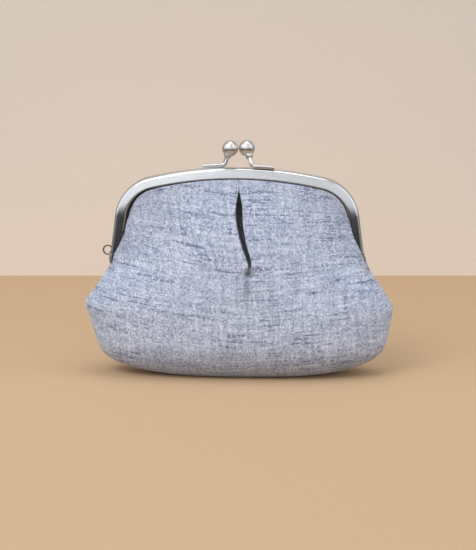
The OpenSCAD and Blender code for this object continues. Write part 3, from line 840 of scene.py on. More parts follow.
class PurseMakeClasp(bpy.types.Operator):
    """Makes the two clasp arms with their collars and balls"""
    bl_idname = "purse.make_clasp"
    bl_label = "Ball clasp"

    def execute(self, context):
        c = context.scene.purse_clasp
        for name, front in (("front", True), ("rear", False)):
            path, radii, ball, way = clasp_places(front)
            arm = Shape()
            tube(arm, path, radii, sides=28)
            arm = arm.make(f"{name}_arm_strip", [clasp_metal()], sharp=math.radians(50), merge=0.2e-6)
            collar = Shape()
            top = c.ball_d / 2 * 0.86
            h, r = c.collar_h, c.collar_r
            profile = [(-c.ball_d / 2 - h, c.stem_r * 1.02), (-c.ball_d / 2 - h, r * 0.72),
                       (-c.ball_d / 2 - h * 0.85, r * 0.84), (-c.ball_d / 2 - h * 0.55, r * 0.93),
                       (-c.ball_d / 2 - h * 0.2, r * 0.99), (-c.ball_d / 2 + h * 0.05, r),
                       (-top + 0.02 * MM, r * 1.01), (-top + 0.12 * MM, r * 0.95), (-top, r * 0.85),
                       (-c.ball_d / 2 - h * 0.2, c.stem_r * 1.02)]

            def claws(along, angles, top=top, h=h, ball_d=c.ball_d):
                reach = np.clip((along + ball_d / 2 + h * 0.35) / (ball_d / 2 - top + h * 0.35), 0, 1)
                return 1 - 0.16 * reach * np.clip(np.cos(angles * 6) * 2.2 - 0.9, 0, 1)

            lathe(collar, profile, ball, way, 48, claws)
            collar = collar.make(f"{name}_collar_cup", [clasp_metal()], sharp=math.radians(50),
                                 merge=0.2e-6)
            bead = Shape()
            turns = [math.pi * i / 28 for i in range(29)]
            lathe(bead, [(-c.ball_d / 2 * math.cos(a), c.ball_d / 2 * math.sin(a) + 1e-7) for a in turns],
                  ball, way, 48)
            bead = bead.make(f"{name}_snap_bead", [clasp_metal()], merge=1e-6)
            for obj, node in ((arm, "clasp_arm"), (collar, "clasp_collar"), (bead, "clasp_ball")):
                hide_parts(f"{name}_{node}")
                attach(obj, f"{name}_half")
        return {"FINISHED"}


class PurseMakeHinges(bpy.types.Operator):
    """Makes the two hinge rivets and the wire eye on the left leg"""
    bl_idname = "purse.make_hinges"
    bl_label = "Hinges and wire eye"

    def execute(self, context):
        s, e = context.scene.purse_frame, context.scene.purse_eye
        self.rivets(s, e)
        self.wire_eye(s, e)
        return {"FINISHED"}

    def rivets(self, s, e):
        head_in = outline().leg_x(s.hinge_z + s.channel_start + 1 * MM, s.wall) - 0.95 * MM
        head_out = s.width / 2 - 0.15 * MM + 0.02 * MM
        t, R, r = e.head_t, e.head_r, e.pin_r
        profile = [(head_in - t, 1e-6), (head_in - t, R * 0.55), (head_in - t * 0.8, R * 0.85),
                   (head_in - t * 0.4, R), (head_in, R * 0.98), (head_in, r), (head_out, r),
                   (head_out, R * 0.98), (head_out + t * 0.35, R), (head_out + t * 0.7, R * 0.82),
                   (head_out + t * 0.95, R * 0.45), (head_out + t, 1e-6)]
        for name, side in (("left", -1), ("right", 1)):
            shape = Shape()
            lathe(shape, profile, (0, 0, s.hinge_z), (side, 0, 0), 40)
            obj = shape.make(f"{name}_rivet", [dark_metal()], sharp=math.radians(40), merge=0.3e-6)
            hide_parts(f"{name}_hinge_pin")
            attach(obj, "front_half")

    def wire_eye(self, s, e):
        """An open loop of wire, put through the left leg and headed inside it."""
        z = s.hinge_z + e.up
        x = -outline().leg_x(z)
        y = s.seam / 2 + s.depth / 2
        centre = x + 0.75 * MM - (0.15 * MM + e.radius + e.wire)
        path = [Vector((px, y, z)) for px in (x + s.wall + 0.15 * MM, x + 0.3 * MM, x - 0.05 * MM)]
        for a in np.linspace(0.16, 2 * math.pi - 0.24, 60):
            path.append(Vector((centre + e.radius * math.cos(a), y, z + e.radius * math.sin(a))))
        shape = Shape()
        tube(shape, path, [(e.wire, e.wire, 1.0)] * len(path), sides=16)
        lathe(shape, [(0, 1e-6), (0, 0.75 * MM), (0.1 * MM, 0.85 * MM), (0.3 * MM, 0.85 * MM),
                      (0.4 * MM, 0.7 * MM), (0.4 * MM, 1e-6)],
              (x + s.wall + 0.15 * MM, y, z), (1, 0, 0), 28)
        eye = shape.make("wire_eye", [dark_metal()], sharp=math.radians(50), merge=0.3e-6)
        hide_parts("charm_ring")
        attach(eye, "rear_half")


# The pouch

# Where the pouch's edges and its slit lie in the photo, as (height, x) or, for the mouth's top, (x, inset)
SIDE_X = ((0.0316, 0.0744), (0.0346, 0.0739), (0.0375, 0.0722), (0.0405, 0.0704), (0.0434, 0.06845),
          (0.0463, 0.0665), (0.0493, 0.0645))
EDGE_LEFT = SIDE_X + (
    (0.0508, 0.0634), (0.0522, 0.0622), (0.0536, 0.0610), (0.0551, 0.0600), (0.0580, 0.0585),
    (0.0619, 0.0565), (0.0653, 0.0548), (0.0682, 0.0536), (0.0715, 0.0528), (0.0748, 0.0519),
    (0.0777, 0.0508))
EDGE_RIGHT = SIDE_X + (
    (0.0508, 0.0636), (0.0522, 0.0628), (0.0541, 0.0620), (0.0562, 0.0610), (0.0576, 0.0603),
    (0.0614, 0.0586), (0.0653, 0.0567), (0.0686, 0.0552), (0.0719, 0.0542), (0.0752, 0.0533),
    (0.0777, 0.0524))
LEFT_MORE = ((0.0, 0.0015), (0.0050, 0.0013), (0.0100, 0.0003), (0.0160, -0.0005), (0.0270, -0.0006),
             (0.0335, -0.0002), (0.0400, -0.0013), (0.0500, -0.0013), (0.0535, -0.0010), (0.0580, 0.0))
MOUTH_LEFT = ((0.0777, 0.00715), (0.0806, 0.0070), (0.0824, 0.0069), (0.0846, 0.0065), (0.0860, 0.0063))
MOUTH_RIGHT = ((0.0777, 0.0055), (0.0860, 0.0055))
MOUTH_TOP = ((-0.0466, 0.0063), (-0.0435, 0.0061), (-0.0390, 0.0058), (-0.0300, 0.0056), (0.0475, 0.0055))
SLIT_X = ((0.0400, 0.0063), (0.0490, 0.0065), (0.0520, 0.0068), (0.0560, 0.0068), (0.0580, 0.0063),
          (0.0615, 0.0050), (0.0660, 0.0036), (0.0710, 0.0024), (0.0745, 0.00175), (0.0780, 0.0015),
          (0.0850, 0.00135), (0.0940, 0.00115))
SLIT_HALF = ((0.0500, 0.0006), (0.0535, 0.0006), (0.0560, 0.0009), (0.0600, 0.00125), (0.0660, 0.00135),
             (0.0740, 0.0016), (0.0820, 0.0016), (0.0860, 0.0009), (0.0900, 0.00028), (0.0940, 0.00016))
SLIT_DEEP = ((0.0500, 0.0), (0.0530, 0.10), (0.0560, 0.55), (0.0600, 0.95), (0.0700, 1.0), (0.0820, 1.0),
             (0.0880, 0.7), (0.0940, 0.25))
# shares of the slit's half width at which columns of the sheet stand
ACROSS = (0.0, 0.3, 0.55, 0.75, 0.87, 0.93, 0.97, 1.0, 1.04, 1.12, 1.25, 1.45, 1.75, 2.2)


# how square the plan of the pouch is at a height: the exponent of its section and its power across
SECTION_SOFT = ((0.0, 0.5), (0.02, 0.5), (0.046, 0.52), (0.050, 0.57), (0.054, 0.66), (0.058, 0.75),
                (0.064, 0.82), (0.072, 0.82), (0.086, 0.72))
SECTION_POWER = ((0.0, 2.6), (0.03, 2.5), (0.045, 2.3), (0.06, 2.5), (0.086, 2.6))
GAP_SHARES = (0.0, 0.05, 0.12, 0.3, 0.65, 1.0)  # where the strip in the gap beside the band has its rows
# dimple and two folds below the slit: x, height, reach across, reach up, darkness of the painted shade
HOLLOWS = ((0.0062, 0.0514, 0.0021, 0.0018, 0.85), (0.0058, 0.0448, 0.0016, 0.0075, 0.42),
           (0.0176, 0.0400, 0.0012, 0.0055, 0.32))


class Pouch:
    """The surface of one side of the pouch, at an inset behind the outer cloth."""

    def __init__(self, inset, front=True, slit_wide=0.0, slit_deep=0.0, columns=52):
        self.s = bpy.context.scene.purse_frame
        self.p = bpy.context.scene.purse_pouch
        self.o = outline()
        self.inset = inset
        self.front = front
        self.columns = columns
        self.slit_wide, self.slit_deep = slit_wide, slit_deep
        self.top_side = 0.0860
        self.ends = (self.half_width(self.top_side, -1) + inset, self.half_width(self.top_side, 1) + inset)
        self.cloth_y = self.s.seam / 2 + self.s.depth - self.s.wall - 0.1 * MM
        self.face = self.s.seam / 2 + self.s.depth

    def band_in(self, z):
        """x of the inner edge of the band at the height z."""
        m = self.s.band
        leg = self.o.leg_x(z, m)
        r = self.s.shoulder_r - m
        bend = self.o.sc[0] + np.sqrt(np.maximum(0, r * r - (z - self.o.sc[1]) ** 2))
        return np.where(z < self.o.sc[1] + r * math.sin(self.s.leg_lean), leg, bend)

    def half_width(self, z, side):
        """Half width at the height z: base, corner, straight flare, over the legs, along the arch."""
        p = self.p
        z = np.asarray(z, float)
        s = np.clip(z / p.corner_z, 0, 1)
        low = p.base_w / 2 + (p.width - p.base_w) / 2 * (0.8 * (1 - (1 - s) ** 7) + 0.2 * s)
        left = (side < 0) == self.front
        table = EDGE_LEFT if left else EDGE_RIGHT
        flare = np.where(z < 0.036, 0.0731 + (0.036 - z) * 0.6, through(table, z))
        # a soft corner where the side turns into the flare
        gap = low - flare
        soft = 0.0012
        wide = 0.5 * (low + flare - np.sqrt(gap * gap + soft * soft)) + soft * 0.18
        mouth = through(MOUTH_LEFT if left else MOUTH_RIGHT, z)
        r = self.s.shoulder_r - mouth
        arch = self.o.sc[0] + np.sqrt(np.maximum(0, r * r - (z - self.o.sc[1]) ** 2))
        k = smooth((z - 0.0745) / 0.0035)
        out = np.where(z < 0.040, wide, flare * (1 - k) + arch * k)
        if left:
            out = out + through(LEFT_MORE, z)
        if self.inset:
            # the inner plies stay inside the legs
            inside = self.band_in(z) - 0.1 * MM
            k = smooth((z - 0.0475) / 0.005)
            out = out * (1 - k) + np.minimum(out, inside) * k
        return out - self.inset

    def sway(self, z):
        """How far the lower pouch stands to the right of the frame."""
        away = 2.3 * MM * np.clip((0.036 - z) / 0.036, 0, 1) ** 0.55
        return away if self.front else -away

    def arch_z(self, x):
        return self.o.top_z(x, through(MOUTH_TOP, x))

    def depth_at(self, x, z):
        p = self.p
        top = self.arch_z(np.clip(x, -self.ends[0], self.ends[1]))
        down = 1 - np.clip(z / p.belly_z, 0, 1)
        low = p.base_d / 2 + (p.depth - p.base_d) / 2 * np.sqrt(np.clip(1 - down**2, 0, 1))
        t = np.clip((z - p.belly_z) / (top - p.belly_z), 0, 1)
        high = self.cloth_y + (p.depth / 2 - self.cloth_y) * (1 - t**1.8)
        return np.where(z < p.belly_z, low, high)

    def rows(self):
        p = self.p
        low = p.corner_z * np.linspace(0, 1, 27) ** 1.5
        high = p.corner_z + (self.top_side - p.corner_z) * np.linspace(0, 1, 60)[1:]
        return np.concatenate([low, high])

    def columns_at(self, left_end, right_end, centre, wide):
        """x of the columns of one row: eased towards the sides, dense round the slit."""
        inner = np.array(ACROSS) * wide
        ease = 1 - (1 - np.linspace(0, 1, self.columns + 1)[1:]) ** 1.7
        right_from = centre + inner[-1]
        left_from = centre - inner[-1]
        right = right_from + (right_end - right_from) * ease
        left = left_from + (-left_end - left_from) * ease
        return np.concatenate([left[::-1], (centre - inner)[::-1], (centre + inner)[1:], right])

    def surface(self, seed):
        """Grid of points (rows x columns x 3) for the front side, its UV and the values of its painted
        shade.
        """
        zs = self.rows()
        lefts, rights = self.half_width(zs, -1), self.half_width(zs, 1)
        top_0 = float(self.arch_z(np.array(0.0)))
        pts, painted_shades = [], []
        for zq, wl, wr in zip(zs, lefts, rights):
            lift = max(0.0, (zq - 0.052) / (self.top_side - 0.052)) ** 1.3
            centre_z = zq + (top_0 - self.top_side) * lift
            centre = float(through(SLIT_X, centre_z))
            wide = float(through(SLIT_HALF, centre_z)) + self.slit_wide
            x = self.columns_at(wl, wr, centre, wide)
            w = np.where(x < 0, wl, wr)
            g = np.clip(np.abs(x) / w, 0, 1)
            top = self.arch_z(x / w * np.where(x < 0, *self.ends))
            z = zq + (top - self.top_side) * lift
            xi = np.abs(x - centre) / wide
            e = float(through(SECTION_SOFT, zq))
            power = float(through(SECTION_POWER, zq))
            profile = (1 - g**power) ** e
            body = self.cloth_y * float(smooth((zq - 0.060) / 0.025))
            y = body + np.maximum(0, self.depth_at(x, z) - self.inset - body) * profile
            # the edge comes forward over the legs, then dips into the mouth of the channel
            rise = smooth((zq - (0.0496 - 0.080 * (1 - g))) / 0.0055)
            edge = (5.4 - 0.8 * float(smooth((zq - 0.066) / 0.012))) * MM - self.inset
            edge = edge * rise
            blend = 0.28 * edge
            y = 0.5 * (y + edge + np.sqrt((y - edge) ** 2 + blend**2))
            deep = float(through(SLIT_DEEP, centre_z)) * (self.p.pleat_depth + self.slit_deep)
            if self.inset > 0:
                cut = np.clip(1 - (xi / 1.6) ** 4, 0, 1) ** 0.8
            else:
                cut = np.sqrt(np.clip(1 - np.clip(xi, 0, 1) ** 7, 0, 1))
            open_share = smooth(deep / (0.4 * self.p.pleat_depth))
            away = smooth((1 - g) / 0.05) * smooth((top - z) / 0.005 + 0.001)
            y = y + self.folds(x, z, seed) * away
            y = y - np.minimum(deep * cut, np.maximum(0, y - (0.0027 - self.inset)))
            if self.inset == 0:
                y = y + np.where(xi > 1, np.exp(-(xi - 1) / 0.7), 0) * 0.30 * MM * open_share
                # painted shade inside the pleat's slit, darker where the slit is deep
                painted_shade = np.where(xi < 1.0, np.clip(cut * 1.25 - 0.15, 0, 1) * open_share * 0.9, 0)
                # painted shade: the cloth darkens towards the base
                painted_shade = np.maximum(painted_shade, 0.26 * smooth((0.020 - z) / 0.014))
                # painted shade in the dimple and in the folds under it, for a depth that is more than the
                # mesh can show
                for cx, cz, rx, rz, dark in HOLLOWS:
                    spot = dark * np.exp(-((x - cx) / rx) ** 2 - ((z - cz) / rz) ** 2)
                    painted_shade = np.maximum(painted_shade, spot if self.front else 0.0)
            else:
                painted_shade = np.zeros_like(x)
            pts.append(np.stack([x, -y, z], 1))
            painted_shades.append(painted_shade)
        pts = np.array(pts)
        step = np.linalg.norm(np.diff(pts, axis=1), axis=2)
        step = np.minimum(step, np.abs(np.diff(pts[..., 0], axis=1)) * 1.6 + 0.0001)
        u = np.concatenate([np.zeros((len(pts), 1)), np.cumsum(step, 1)], 1)
        u -= u[:, [u.shape[1] // 2]]
        mid = pts[:, pts.shape[1] // 4]
        rise = np.concatenate([[0], np.cumsum(np.linalg.norm(np.diff(mid, axis=0), axis=1))])
        # the weft droops from both sides towards the pleat
        high = smooth((pts[..., 2] - 0.02) / 0.06)
        x = pts[..., 0]
        droop = np.where(x < 0, 0.12 + 0.08 * high, 0.08 - 0.04 * high)
        droop = droop * (np.sqrt(x * x + 9 * MM * MM) - 3 * MM)
        return pts, u, rise[:, None] - droop, np.array(painted_shades)

    def folds(self, x, z, seed):
        """Soft hollows under the slit and the gentle unevenness of a filled cloth, in metres of depth."""
        def bump(cx, cz, rx, rz):
            return np.exp(-((x - cx) / rx) ** 2 - ((z - cz) / rz) ** 2)
        out = -2.2 * MM * bump(0.0062, 0.0513, 0.0020, 0.0020)
        out -= 1.2 * MM * bump(0.0060, 0.0450, 0.0016, 0.0065)
        out -= 0.9 * MM * bump(0.0173, 0.0405, 0.0014, 0.0052)
        out += 0.35 * MM * bump(0.0210, 0.041, 0.0028, 0.007)
        out += 0.35 * MM * bump(0.0110, 0.048, 0.003, 0.008)
        out += 0.25 * MM * bump(0.0020, 0.048, 0.003, 0.008)
        rng = np.random.default_rng(seed)
        for _ in range(14):
            cx, cz = rng.uniform(-0.055, 0.055), rng.uniform(0.012, 0.075)
            size = rng.uniform(0.010, 0.022)
            out += rng.uniform(-0.35, 0.35) * MM * bump(cx, cz, size, size * rng.uniform(0.5, 1.2))
        return out

    def groove_depths(self, y, low, slot_y):
        """Depths on the way from the edge of the ply down the dark gap and up into the slot."""
        return (y, y - 0.4 * MM, 0.5 * (y + low), low + 0.1 * MM, low, low + 0.1 * MM,
                0.5 * (low + slot_y), slot_y, slot_y)

    def side_strip(self, x, y, z):
        """From one point of the side edge round the band's edge or down the gap, into the slot."""
        slot_y = self.cloth_y - self.inset
        inside = float(self.band_in(z))
        away = x + self.inset
        if self.inset:
            end = inside + 2.6 * MM
            fold = [(x + (end - x) * i / 8, y + (slot_y - y) * min(1, i / 3)) for i in range(9)]
        else:
            rest = self.face + 0.07 * MM
            fold = [(x, y), (x - 0.1 * MM, y - 0.35 * MM), (x - 0.4 * MM, rest + 0.05 * MM),
                    (0.5 * (x + inside), rest), (inside, rest), (inside - 0.3 * MM, self.face - 0.35 * MM),
                    (inside - 0.05 * MM, slot_y + 0.1 * MM), (inside + 0.9 * MM, slot_y),
                    (inside + 2.6 * MM, slot_y)]
            fold = [(min(fx, x), fy) for fx, fy in fold]
        gap = max(0.0, inside - away)
        low = max(slot_y - 0.9 * MM - 0.35 * gap, 1.2 * MM)
        under = inside - self.inset
        runs = [x + share * gap for share in GAP_SHARES]
        runs += [under + 0.4 * MM, under + 1.2 * MM, under + 2.6 * MM]
        groove = list(zip(runs, self.groove_depths(y, low, slot_y)))
        end_x = float(through(((0.049, 0.0645), (0.0505, 0.0605), (0.052, 0.0572), (0.0535, 0.0558)), z))
        end_y = 0.0006 + 0.003 * float(smooth((z - 0.0525) / 0.005))
        if z < 0.0500:
            end_x, end_y = x, y
        line = [(x + (min(end_x, x) - x) * i / 8, y + (end_y - y) * i / 8) for i in range(9)]
        k_low = float(smooth((z - 0.0518) / 0.0025))
        k_high = float(smooth((away - inside) / (-0.8 * MM)))
        row = []
        for (fx, fy), (lx, ly), (gx, gy) in zip(fold, line, groove):
            bx, by = lx + (fx - lx) * k_low, ly + (fy - ly) * k_low
            row.append((bx + (gx - bx) * k_high, by + (gy - by) * k_high))
        return row

    def top_strip(self, x, y, z):
        """From one point of the top edge down the gap under the band and into the slot."""
        slot_y = self.cloth_y - self.inset
        centre = self.o.c if math.atan2(z - self.o.c[1], abs(x) - self.o.c[0]) > self.o.end else self.o.sc
        way = np.array([abs(x), z]) - centre
        way /= np.linalg.norm(way)
        gap = max(0.1 * MM, float(through(MOUTH_TOP, x)) - self.s.band)
        low = slot_y - 0.9 * MM - 0.35 * gap
        runs = [share * gap for share in GAP_SHARES] + [gap + 0.4 * MM, gap + 1.2 * MM, gap + 2.6 * MM]
        return [(abs(x) + way[0] * r, d, z + way[1] * r)
                for r, d in zip(runs, self.groove_depths(y, low, slot_y))]

    def build(self, name, materials, seed, thickness):
        """One side of the pouch as a closed sheet, from the middle of the base up into the slot."""
        pts, u, v, painted_shade = self.surface(seed)
        first = pts[0]
        base = []
        for f in np.linspace(0, 1, 7)[:-1]:
            ring = first.copy()
            ring[:, 1] = first[:, 1] * f
            ring[:, 0] = first[:, 0] * (0.6 + 0.4 * f)
            base.append(ring)
        pts = np.concatenate([np.array(base), pts], 0)
        pts[..., 2] = np.maximum(pts[..., 2], 0) + self.inset * smooth((0.03 - pts[..., 2]) / 0.03)
        nb = len(base)
        under = -np.linspace(1, 0, nb + 1)[:-1] * self.p.base_d / 2
        v = np.concatenate([under[:, None] + v[:1] * 0 + v[0].min(), v], 0)
        u = np.concatenate([np.repeat(u[:1], nb, 0), u], 0)
        painted_shade = np.concatenate([np.repeat(painted_shade[:1], nb, 0), painted_shade], 0)
        total, cols = pts.shape[:2]
        full, spots = [], []
        for r, c in ([(r, 0) for r in range(nb, total)] + [(total - 1, c) for c in range(1, cols - 1)]
                     + [(r, cols - 1) for r in range(total - 1, nb - 1, -1)]):
            x, y, z = pts[r, c]
            side = -1.0 if x < 0 else 1.0
            if c in (0, cols - 1) and r < total - 1:
                strip = [(sx, sy, z) for sx, sy in self.side_strip(abs(x), -y, z)]
            else:
                strip = self.top_strip(x, -y, z)
            full.append([(side * sx, -sy, sz) for sx, sy, sz in strip])
            spots.append((u[r, c], v[r, c], z))
        full = np.array(full)
        pts[..., 0] += self.sway(pts[..., 2])
        if not self.front:
            pts, full = pts * np.array([-1, -1, 1.0]), full * np.array([-1, -1, 1.0])
        shape = Shape()
        shape.grid(pts, u, v, extra=painted_shade)
        keep = [i for i, spot in enumerate(spots) if spot[2] > 0.0490]
        uu = np.array([spots[i][0] for i in keep])[:, None] + np.zeros((1, 9))
        vv = np.array([spots[i][1] for i in keep])[:, None] + np.linspace(0, 0.004, 9)[None]
        # painted shade down the dark gap beside the band, deepening towards the slot
        dark = np.array([0.1, 0.3, 0.7, 0.95, 1.0, 1.0, 1.0, 1.0, 1.0])[None] * np.ones((len(keep), 1))
        shape.grid(full[keep], uu, vv, flip=True, extra=dark)
        obj = shape.make(name, materials, extra="painted_shade", merge=1e-6)
        wall = obj.modifiers.new("Thickness", "SOLIDIFY")
        wall.thickness = thickness
        wall.offset = -1.0
        wall.use_rim = True
        return obj


def facing_out(obj, front):
    """Turns the mesh so that its faces look away from the inside of the purse."""
    work = bmesh.new()
    work.from_mesh(obj.data)
    work.faces.ensure_lookup_table()
    best = max(work.faces, key=lambda f: (-1 if front else 1) * f.calc_center_median().y)
    if (best.normal.y > 0) == front:
        bmesh.ops.reverse_faces(work, faces=work.faces)
    work.to_mesh(obj.data)
    work.free()


def finish_sheet(obj):
    """Applies the thickness, so that the sheet is one closed mesh."""
    bpy.context.view_layer.update()
    depsgraph = bpy.context.evaluated_depsgraph_get()
    mesh = bpy.data.meshes.new_from_object(obj.evaluated_get(depsgraph))
    obj.modifiers.clear()
    old = obj.data
    obj.data = mesh
    bpy.data.meshes.remove(old)


def pouch_side(name, front, nodes, inset, wide, deep, mat, thickness, seed, columns):
    """One ply of one side of the pouch, from the base up into the channel of its half frame."""
    obj = Pouch(inset, front, wide, deep, columns).build(name, [mat], seed, thickness)
    facing_out(obj, front)
    finish_sheet(obj)
    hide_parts(*nodes)
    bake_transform(obj)
    return obj


class PurseMakeOuterCloth(bpy.types.Operator):
    """Makes the front and rear of the pouch in slub cloth, with the pleat under the frame"""
    bl_idname = "purse.make_outer_cloth"
    bl_label = "Outer cloth"

    def execute(self, context):
        t = context.scene.purse_pouch.cloth_t
        for name, front, seed in SIDES:
            pouch_side(f"{name}_outer_cloth", front, (f"{name}_cloth_top", f"{name}_cloth_body"),
                       0.0, 0.0, 0.0, outer_cloth(), t * 0.8, seed, 52)
        return {"FINISHED"}


class PurseMakePadding(bpy.types.Operator):
    """Makes the thin fleece that stiffens the pouch behind its outer cloth"""
    bl_idname = "purse.make_padding"
    bl_label = "Padding"

    def execute(self, context):
        p = context.scene.purse_pouch
        for name, front, seed in SIDES:
            pouch_side(f"{name}_fleece", front, (f"{name}_padding_top", f"{name}_padding_body"),
                       p.cloth_t + 0.1 * MM, 1.2 * MM, 0.6 * MM, fleece_material(), p.padding_t * 0.8,
                       seed, 36)
        return {"FINISHED"}


class PurseMakeLining(bpy.types.Operator):
    """Makes the plain cotton lining"""
    bl_idname = "purse.make_lining"
    bl_label = "Lining"

    def execute(self, context):
        p = context.scene.purse_pouch
        inset = p.cloth_t + p.padding_t + 0.2 * MM
        for name, front, seed in SIDES:
            pouch_side(f"{name}_lining_cloth", front, (f"{name}_lining_top", f"{name}_lining_body"),
                       inset, 2.0 * MM, 1.3 * MM, lining_cloth(), p.lining_t * 0.8, seed, 36)
        return {"FINISHED"}


class PurseMakePaperCords(bpy.types.Operator):
    """Makes the twisted paper cords that wedge the cloth in the channels"""
    bl_idname = "purse.make_paper_cords"
    bl_label = "Paper cords"

    def execute(self, context):
        s, p = context.scene.purse_frame, context.scene.purse_pouch
        o = outline()
        reach = o.to_hinge - s.channel_start - p.cord_r
        for name, sign in (("front", -1.0), ("rear", 1.0)):
            d = np.linspace(-reach, reach, 620)
            place, n = o.at(d)
            sides = 14
            ang = np.arange(sides) / sides * 2 * math.pi
            twist = d[:, None] * 1500
            r = p.cord_r * (0.90 + 0.10 * np.cos(2 * (ang[None] - twist)))
            inset = CORD_INSET + r * np.cos(ang)[None]
            y = sign * (s.seam / 2 + s.wall + 0.05 * MM + p.cord_r + r * np.sin(ang)[None])
            xz = place[:, None] - inset[..., None] * n[:, None]
            rows = np.stack([xz[..., 0], y, xz[..., 1]], -1)
            shape = Shape()
            v = np.linspace(0, 2 * math.pi * p.cord_r, sides + 1)[None]
            shape.grid(rows, d[:, None], v, closed=True, caps=(True, True))
            obj = shape.make(f"{name}_paper_twist", [paper_material()], merge=0.2e-6)
            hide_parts(f"{name}_paper_cord")
            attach(obj, f"{name}_half")
        return {"FINISHED"}


# Stitches, by Geometry Nodes

def stitch_tree():
    """Lays one stitch after the other along the edges of the guide mesh."""
    tree = bpy.data.node_groups.new("Stitches along a seam", "GeometryNodeTree")
    for label, kind, default in (
            ("Geometry", "NodeSocketGeometry", None), ("Pitch", "NodeSocketFloat", 0.0022),
            ("Stitch length", "NodeSocketFloat", 0.0015), ("Thread", "NodeSocketFloat", 0.00024),
            ("Seed", "NodeSocketInt", 5), ("Material", "NodeSocketMaterial", None)):
        socket = tree.interface.new_socket(name=label, in_out="INPUT", socket_type=kind)
        if default is not None:
            socket.default_value = default
    tree.interface.new_socket(name="Geometry", in_out="OUTPUT", socket_type="NodeSocketGeometry")
    n = Nodes(tree)
    gin, gout = n.add("NodeGroupInput"), n.add("NodeGroupOutput")
    curve = n.add("GeometryNodeMeshToCurve")
    n.link(gin.outputs["Geometry"], curve.inputs["Mesh"])
    points = n.add("GeometryNodeCurveToPoints", mode="LENGTH")
    n.link(curve.outputs["Curve"], points.inputs["Curve"])
    n.link(gin.outputs["Pitch"], points.inputs["Length"])
    ball = n.add("GeometryNodeMeshUVSphere")
    ball.inputs["Segments"].default_value = 6
    ball.inputs["Rings"].default_value = 5
    n.link(gin.outputs["Thread"], ball.inputs["Radius"])
    stretch = n.add("GeometryNodeTransform")
    n.link(ball.outputs["Mesh"], stretch.inputs["Geometry"])
    ratio = n.math("DIVIDE", gin.outputs["Stitch length"], n.math("MULTIPLY", gin.outputs["Thread"], 2.0))
    scale = n.add("ShaderNodeCombineXYZ")
    scale.inputs[0].default_value = 1.0
    scale.inputs[1].default_value = 1.0
    n.link(ratio, scale.inputs[2])
    n.link(scale.outputs[0], stretch.inputs["Scale"])
    wobble = n.add("FunctionNodeRandomValue", data_type="FLOAT_VECTOR")
    wobble.inputs[0].default_value = (-0.09, -0.09, -0.09)
    wobble.inputs[1].default_value = (0.09, 0.09, 0.09)
    n.link(gin.outputs["Seed"], wobble.inputs["Seed"])
    turn = n.add("FunctionNodeRotateEuler")
    n.link(points.outputs["Rotation"], turn.inputs[0])
    n.link(wobble.outputs[0], turn.inputs[1])
    place = n.add("GeometryNodeInstanceOnPoints")
    n.link(points.outputs["Points"], place.inputs["Points"])
    n.link(stretch.outputs["Geometry"], place.inputs["Instance"])
    n.link(turn.outputs[0], place.inputs["Rotation"])
    real = n.add("GeometryNodeRealizeInstances")
    n.link(place.outputs["Instances"], real.inputs["Geometry"])
    paint = n.add("GeometryNodeSetMaterial")
    n.link(real.outputs["Geometry"], paint.inputs["Geometry"])
    n.link(gin.outputs["Material"], paint.inputs["Material"])
    n.link(paint.outputs["Geometry"], gout.inputs["Geometry"])
    return tree


class PurseMakeStitches(bpy.types.Operator):
    """Lays the stitches of the two side seams"""
    bl_idname = "purse.make_stitches"
    bl_label = "Side seam stitches"

    def execute(self, context):
        pouch = Pouch(0.0)
        z = np.linspace(0.004, 0.049, 60)
        points, edges = [], []
        for side in (-1, 1):
            start = len(points)
            for zz in z:
                out = side * (float(pouch.half_width(zz, side)) + 0.0001)
                points.append((out + float(pouch.sway(zz)), 0.0, float(zz)))
            edges += [(start + i, start + i + 1) for i in range(len(z) - 1)]
        mesh = bpy.data.meshes.new("side_seam_guide")
        mesh.from_pydata(points, edges, [])
        obj = bpy.data.objects.new("side_seam_stitches", mesh)
        context.scene.collection.objects.link(obj)
        tree = stitch_tree()
        wanted = {"Pitch": context.scene.purse_pouch.stitch, "Stitch length": 0.0015, "Thread": 0.00024,
                  "Seed": 5, "Material": thread_material()}
        modifier = obj.modifiers.new("Stitches", "NODES")
        modifier.node_group = tree
        for item in tree.interface.items_tree:
            if item.in_out == "INPUT" and item.name in wanted:
                modifier[item.identifier] = wanted[item.name]
        context.view_layer.update()
        depsgraph = context.evaluated_depsgraph_get()
        plain = bpy.data.meshes.new_from_object(obj.evaluated_get(depsgraph))
        obj.modifiers.clear()
        obj.data = plain
        if not plain.polygons:
            raise RuntimeError("the seam stitches came out empty")
        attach(obj, "bag")
        return {"FINISHED"}


# Floor, backdrop, lights and camera

def stage_plane(name, corners, mat):
    obj = add_object(name, corners, [tuple(range(len(corners)))], [mat])
    return obj


def area_light(name, place, aim, size, power):
    data = bpy.data.lights.new(name, "AREA")
    data.shape = "RECTANGLE"
    data.size, data.size_y = size
    data.energy = power
    obj = bpy.data.objects.new(name, data)
    obj.location = place
    obj.rotation_euler = (Vector(aim) - Vector(place)).to_track_quat("-Z", "Y").to_euler()
    bpy.context.scene.collection.objects.link(obj)


